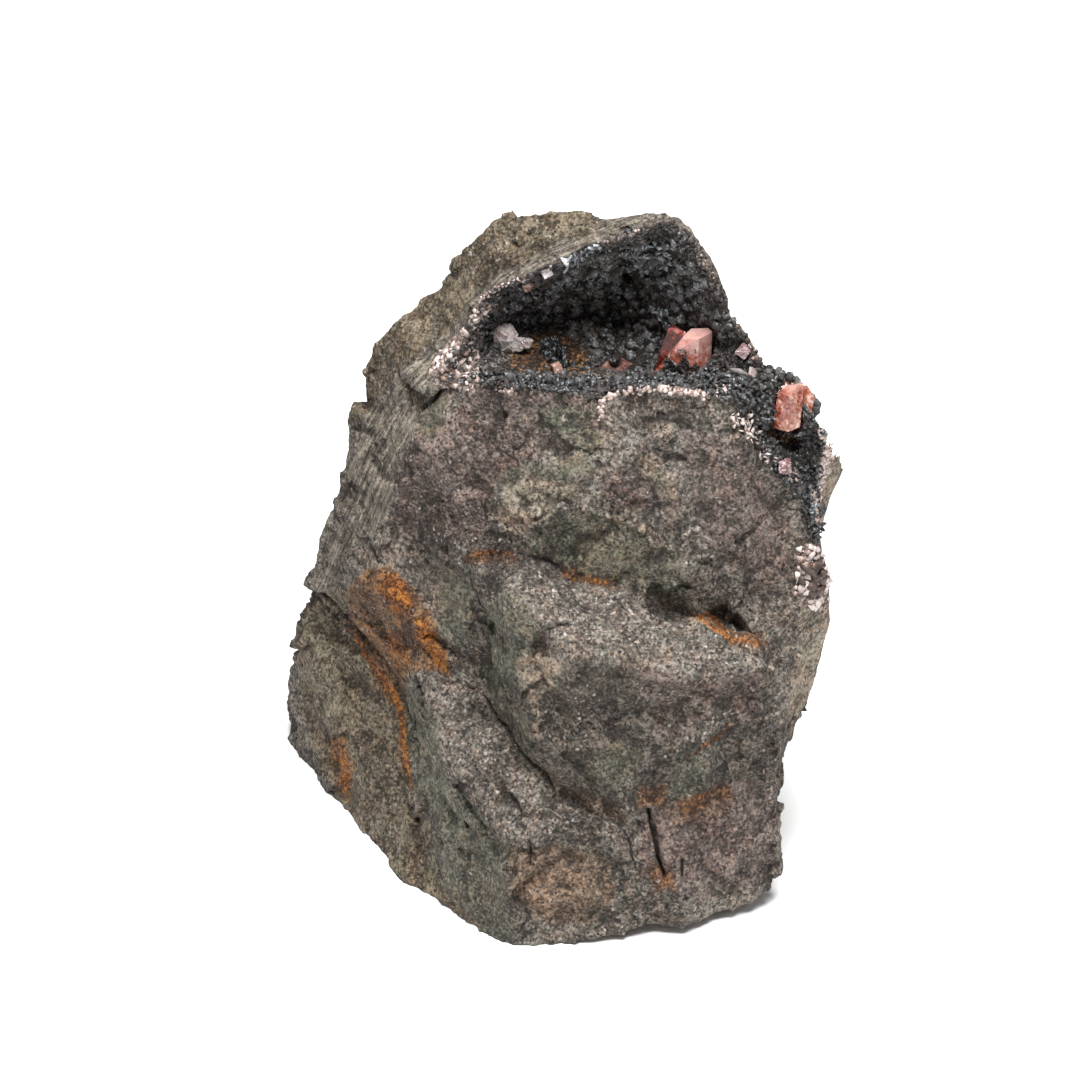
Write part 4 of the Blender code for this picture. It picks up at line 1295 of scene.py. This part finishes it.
def crumple(piece, size, height, seed):
    """Breaks a crystal's plain faces into small facets, and marks pale frosted patches on them."""
    with_modifier(piece, "REMESH", {"mode": "VOXEL", "voxel_size": CRYSTAL_VOXEL * MM})
    mesh = piece.data
    points, normals = read_mesh(mesh)
    normals = unit(smoothed(mesh, normals, 4))
    lift = facets_at(points, size, seed)[0] + 0.4 * facets_at(points, size * 0.45, seed + 5)[0]
    write_points(mesh, points + normals * (height * lift)[:, None])
    set_mark(mesh, "frost", ramped(noise_at(points, size * 0.6, seed), 0.1, 0.3) * 0.6)


def keep_side(piece, point, normal):
    """Cuts a crystal's mesh by a plane and keeps the side its normal points away from.

    The triangles aren't joined, so the cut stays open and the faces don't all agree on which side is out.
    """
    mesh = bmesh.new()
    mesh.from_mesh(piece.data)
    whole = mesh.verts[:] + mesh.edges[:] + mesh.faces[:]
    bmesh.ops.bisect_plane(mesh, geom=whole, plane_co=Vector(point) * MM, plane_no=normal, clear_outer=True)
    bmesh.ops.recalc_face_normals(mesh, faces=mesh.faces)
    mesh.to_mesh(piece.data)
    mesh.free()


def crystal_finishes():
    """The finish of each kind of crystal, by name."""
    return {
        # Each top tint is painted light on the crystal's upper part.
        "salmon": crystal_finish("salmon", [
            (0.39, "863425"), (0.46, "b45d4a"), (0.53, "d08b7b"), (0.61, "f2d0c6"),
        ], 0.28, (0.96, 0.5, 0.42), 420, top=(109, 115, "dcaea6")),
        "edge salmon": crystal_finish("edge_salmon", [
            (0.39, "6e2a1c"), (0.46, "9e513d"), (0.53, "c58570"), (0.61, "f0d6ca"),
        ], 0.3, (0.96, 0.5, 0.4), 420, top=(104.5, 109, "cfa298")),
        "deep": crystal_finish("deep_red", [
            (0.39, "310f0b"), (0.5, "5c231c"), (0.6, "94473a"),
        ], 0.2, (0.95, 0.45, 0.38), 400, top=(115, 117.5, "b98a84")),
        "pale": crystal_finish("pale_rose", [
            (0.4, "c2a59f"), (0.5, "e2d3d0"), (0.6, "f7f1f0"),
        ], 0.2, (0.98, 0.85, 0.83), 200, frost="fdf9f8"),
        "lilac": crystal_finish("lilac", [
            (0.4, "6b4b48"), (0.5, "967574"), (0.6, "c3a9aa"),
        ], 0.2, (0.95, 0.75, 0.78), 250, frost="dccdd0"),
        "tan": crystal_finish("tan_rose", [
            (0.35, "8a6653"), (0.5, "ae8978"), (0.65, "d0b5a9"),
        ], 0.2, (0.97, 0.8, 0.72), 300, frost="e6d3cd"),
        "smoky": crystal_finish("smoky_rose", [
            (0.4, "4a2f27"), (0.5, "78524a"), (0.6, "b08e86"),
        ], 0.1, (0.9, 0.6, 0.5), 400),
        "black": crust_finish("black_gloss", "0f0f11", "4a4d51", 0.12, painted_sparkle_share=0.16),
    }


def build_pair(finishes):
    """The two crystals that have grown together, parted by a leaning plane into a piece for each colour."""
    low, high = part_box("crystal_pair")
    seam = ((low + high) / 2) / MM
    parting = Vector((1, -0.13, -0.65)).normalized()
    for name, finish, shift, side in (
        ("deep_crystal", "deep", -3.14, 1),
        ("salmon_crystal", "salmon", -3.11, -1),
    ):
        piece = copy_node("crystal_pair", name, finishes[finish])
        keep_side(piece, seam + parting * shift, parting * side)
        hand_over(piece, "rhodochrosite", ["crystal_pair"])


def build_crystals():
    finishes = crystal_finishes()
    build_pair(finishes)
    for node, name, finish, slot in (
        ("right_cluster", "edge_cluster", "edge salmon", "rhodochrosite"),
        ("ringed_crystal", "ringed_tablet", "smoky", "pale_carbonate"),
        ("black_ball", "black_bead", "black", "black_oxide"),
        ("black_blades", "gloss_blades", "black", "black_oxide"),
        ("pink_blades", "rose_blades", "pale", "pale_carbonate"),
    ):
        hand_over(copy_node(node, name, finishes[finish]), slot, [node])
    for node, name, finish, size, height in (
        ("pale_crystal", "pale_lump", "pale", 1.7, 0.45),
        ("lavender_crystal", "lavender_rhomb", "lilac", 1.3, 0.45),
        ("chip_crystal", "pale_chip", "tan", 1.0, 0.25),
        ("rim_crystal_low", "rim_rhomb_low", "tan", 1.0, 0.3),
        ("rim_crystal_high", "rim_rhomb_high", "pale", 1.0, 0.3),
        ("edge_crystal", "edge_rhomb", "lilac", 1.1, 0.45),
    ):
        piece = copy_node(node, name, finishes[finish])
        crumple(piece, size, height, 3.3)
        hand_over(piece, "pale_carbonate", [node])


def floor_finish():
    f = Finish("paper", {"Roughness": 0.7})
    tone = f.noise(f.place(), 40, 2)
    return f.finish(base_color=f.ramp(tone, [(0.0, "fafafa"), (1.0, "fdfdfd")]))


def build_stage():
    """A pale floor, one large soft light above, and the camera on the line of sight."""
    mesh = bmesh.new()
    bmesh.ops.create_grid(mesh, x_segments=2, y_segments=2, size=FLOOR_REACH)
    data = bpy.data.meshes.new("floor")
    mesh.to_mesh(data)
    mesh.free()
    link("floor", data, floor_finish())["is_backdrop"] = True
    world = bpy.data.worlds.new("studio")
    world.use_nodes = True
    background = world.node_tree.nodes["Background"]
    background.inputs["Color"].default_value = (1, 1, 1, 1)
    background.inputs["Strength"].default_value = STUDIO_LIGHT
    bpy.context.scene.world = world
    light = bpy.data.lights.new("softbox", "AREA")
    light.size = SOFTBOX_SIZE
    light.energy = SOFTBOX_POWER
    softbox = link("softbox", light)
    softbox.location = SOFTBOX_PLACE
    softbox.rotation_euler = (SOFTBOX_TARGET - SOFTBOX_PLACE).to_track_quat("-Z", "Y").to_euler()
    camera = bpy.data.cameras.new("camera")
    camera.lens = LENS
    camera.sensor_width = SENSOR
    camera.clip_start = NEAREST_SEEN
    seat = link("camera", camera)
    seat.location = EYE * MM
    seat.rotation_euler = (math.pi / 2 - LOOK_DOWN, 0, 0)
    bpy.context.scene.camera = seat
    bpy.context.scene.view_settings.view_transform = "Standard"


def write_sizes():
    boxes = {"cad": cad_box, "visual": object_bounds()}
    sizes = {name: [[float(v) for v in corner] for corner in box] for name, box in boxes.items()}


def build_object():
    crystals = crystal_tree()
    ground = Ground(build_rock(crystals))
    build_globules(ground, crystals)
    build_druse(ground, crystals)
    build_laths(ground, crystals)
    build_silver(ground)
    carbonate = carbonate_finish()
    build_seams(ground, carbonate)
    build_pale_laths(ground, carbonate)
    build_crystals()


build_stage()
build_object()
write_sizes()
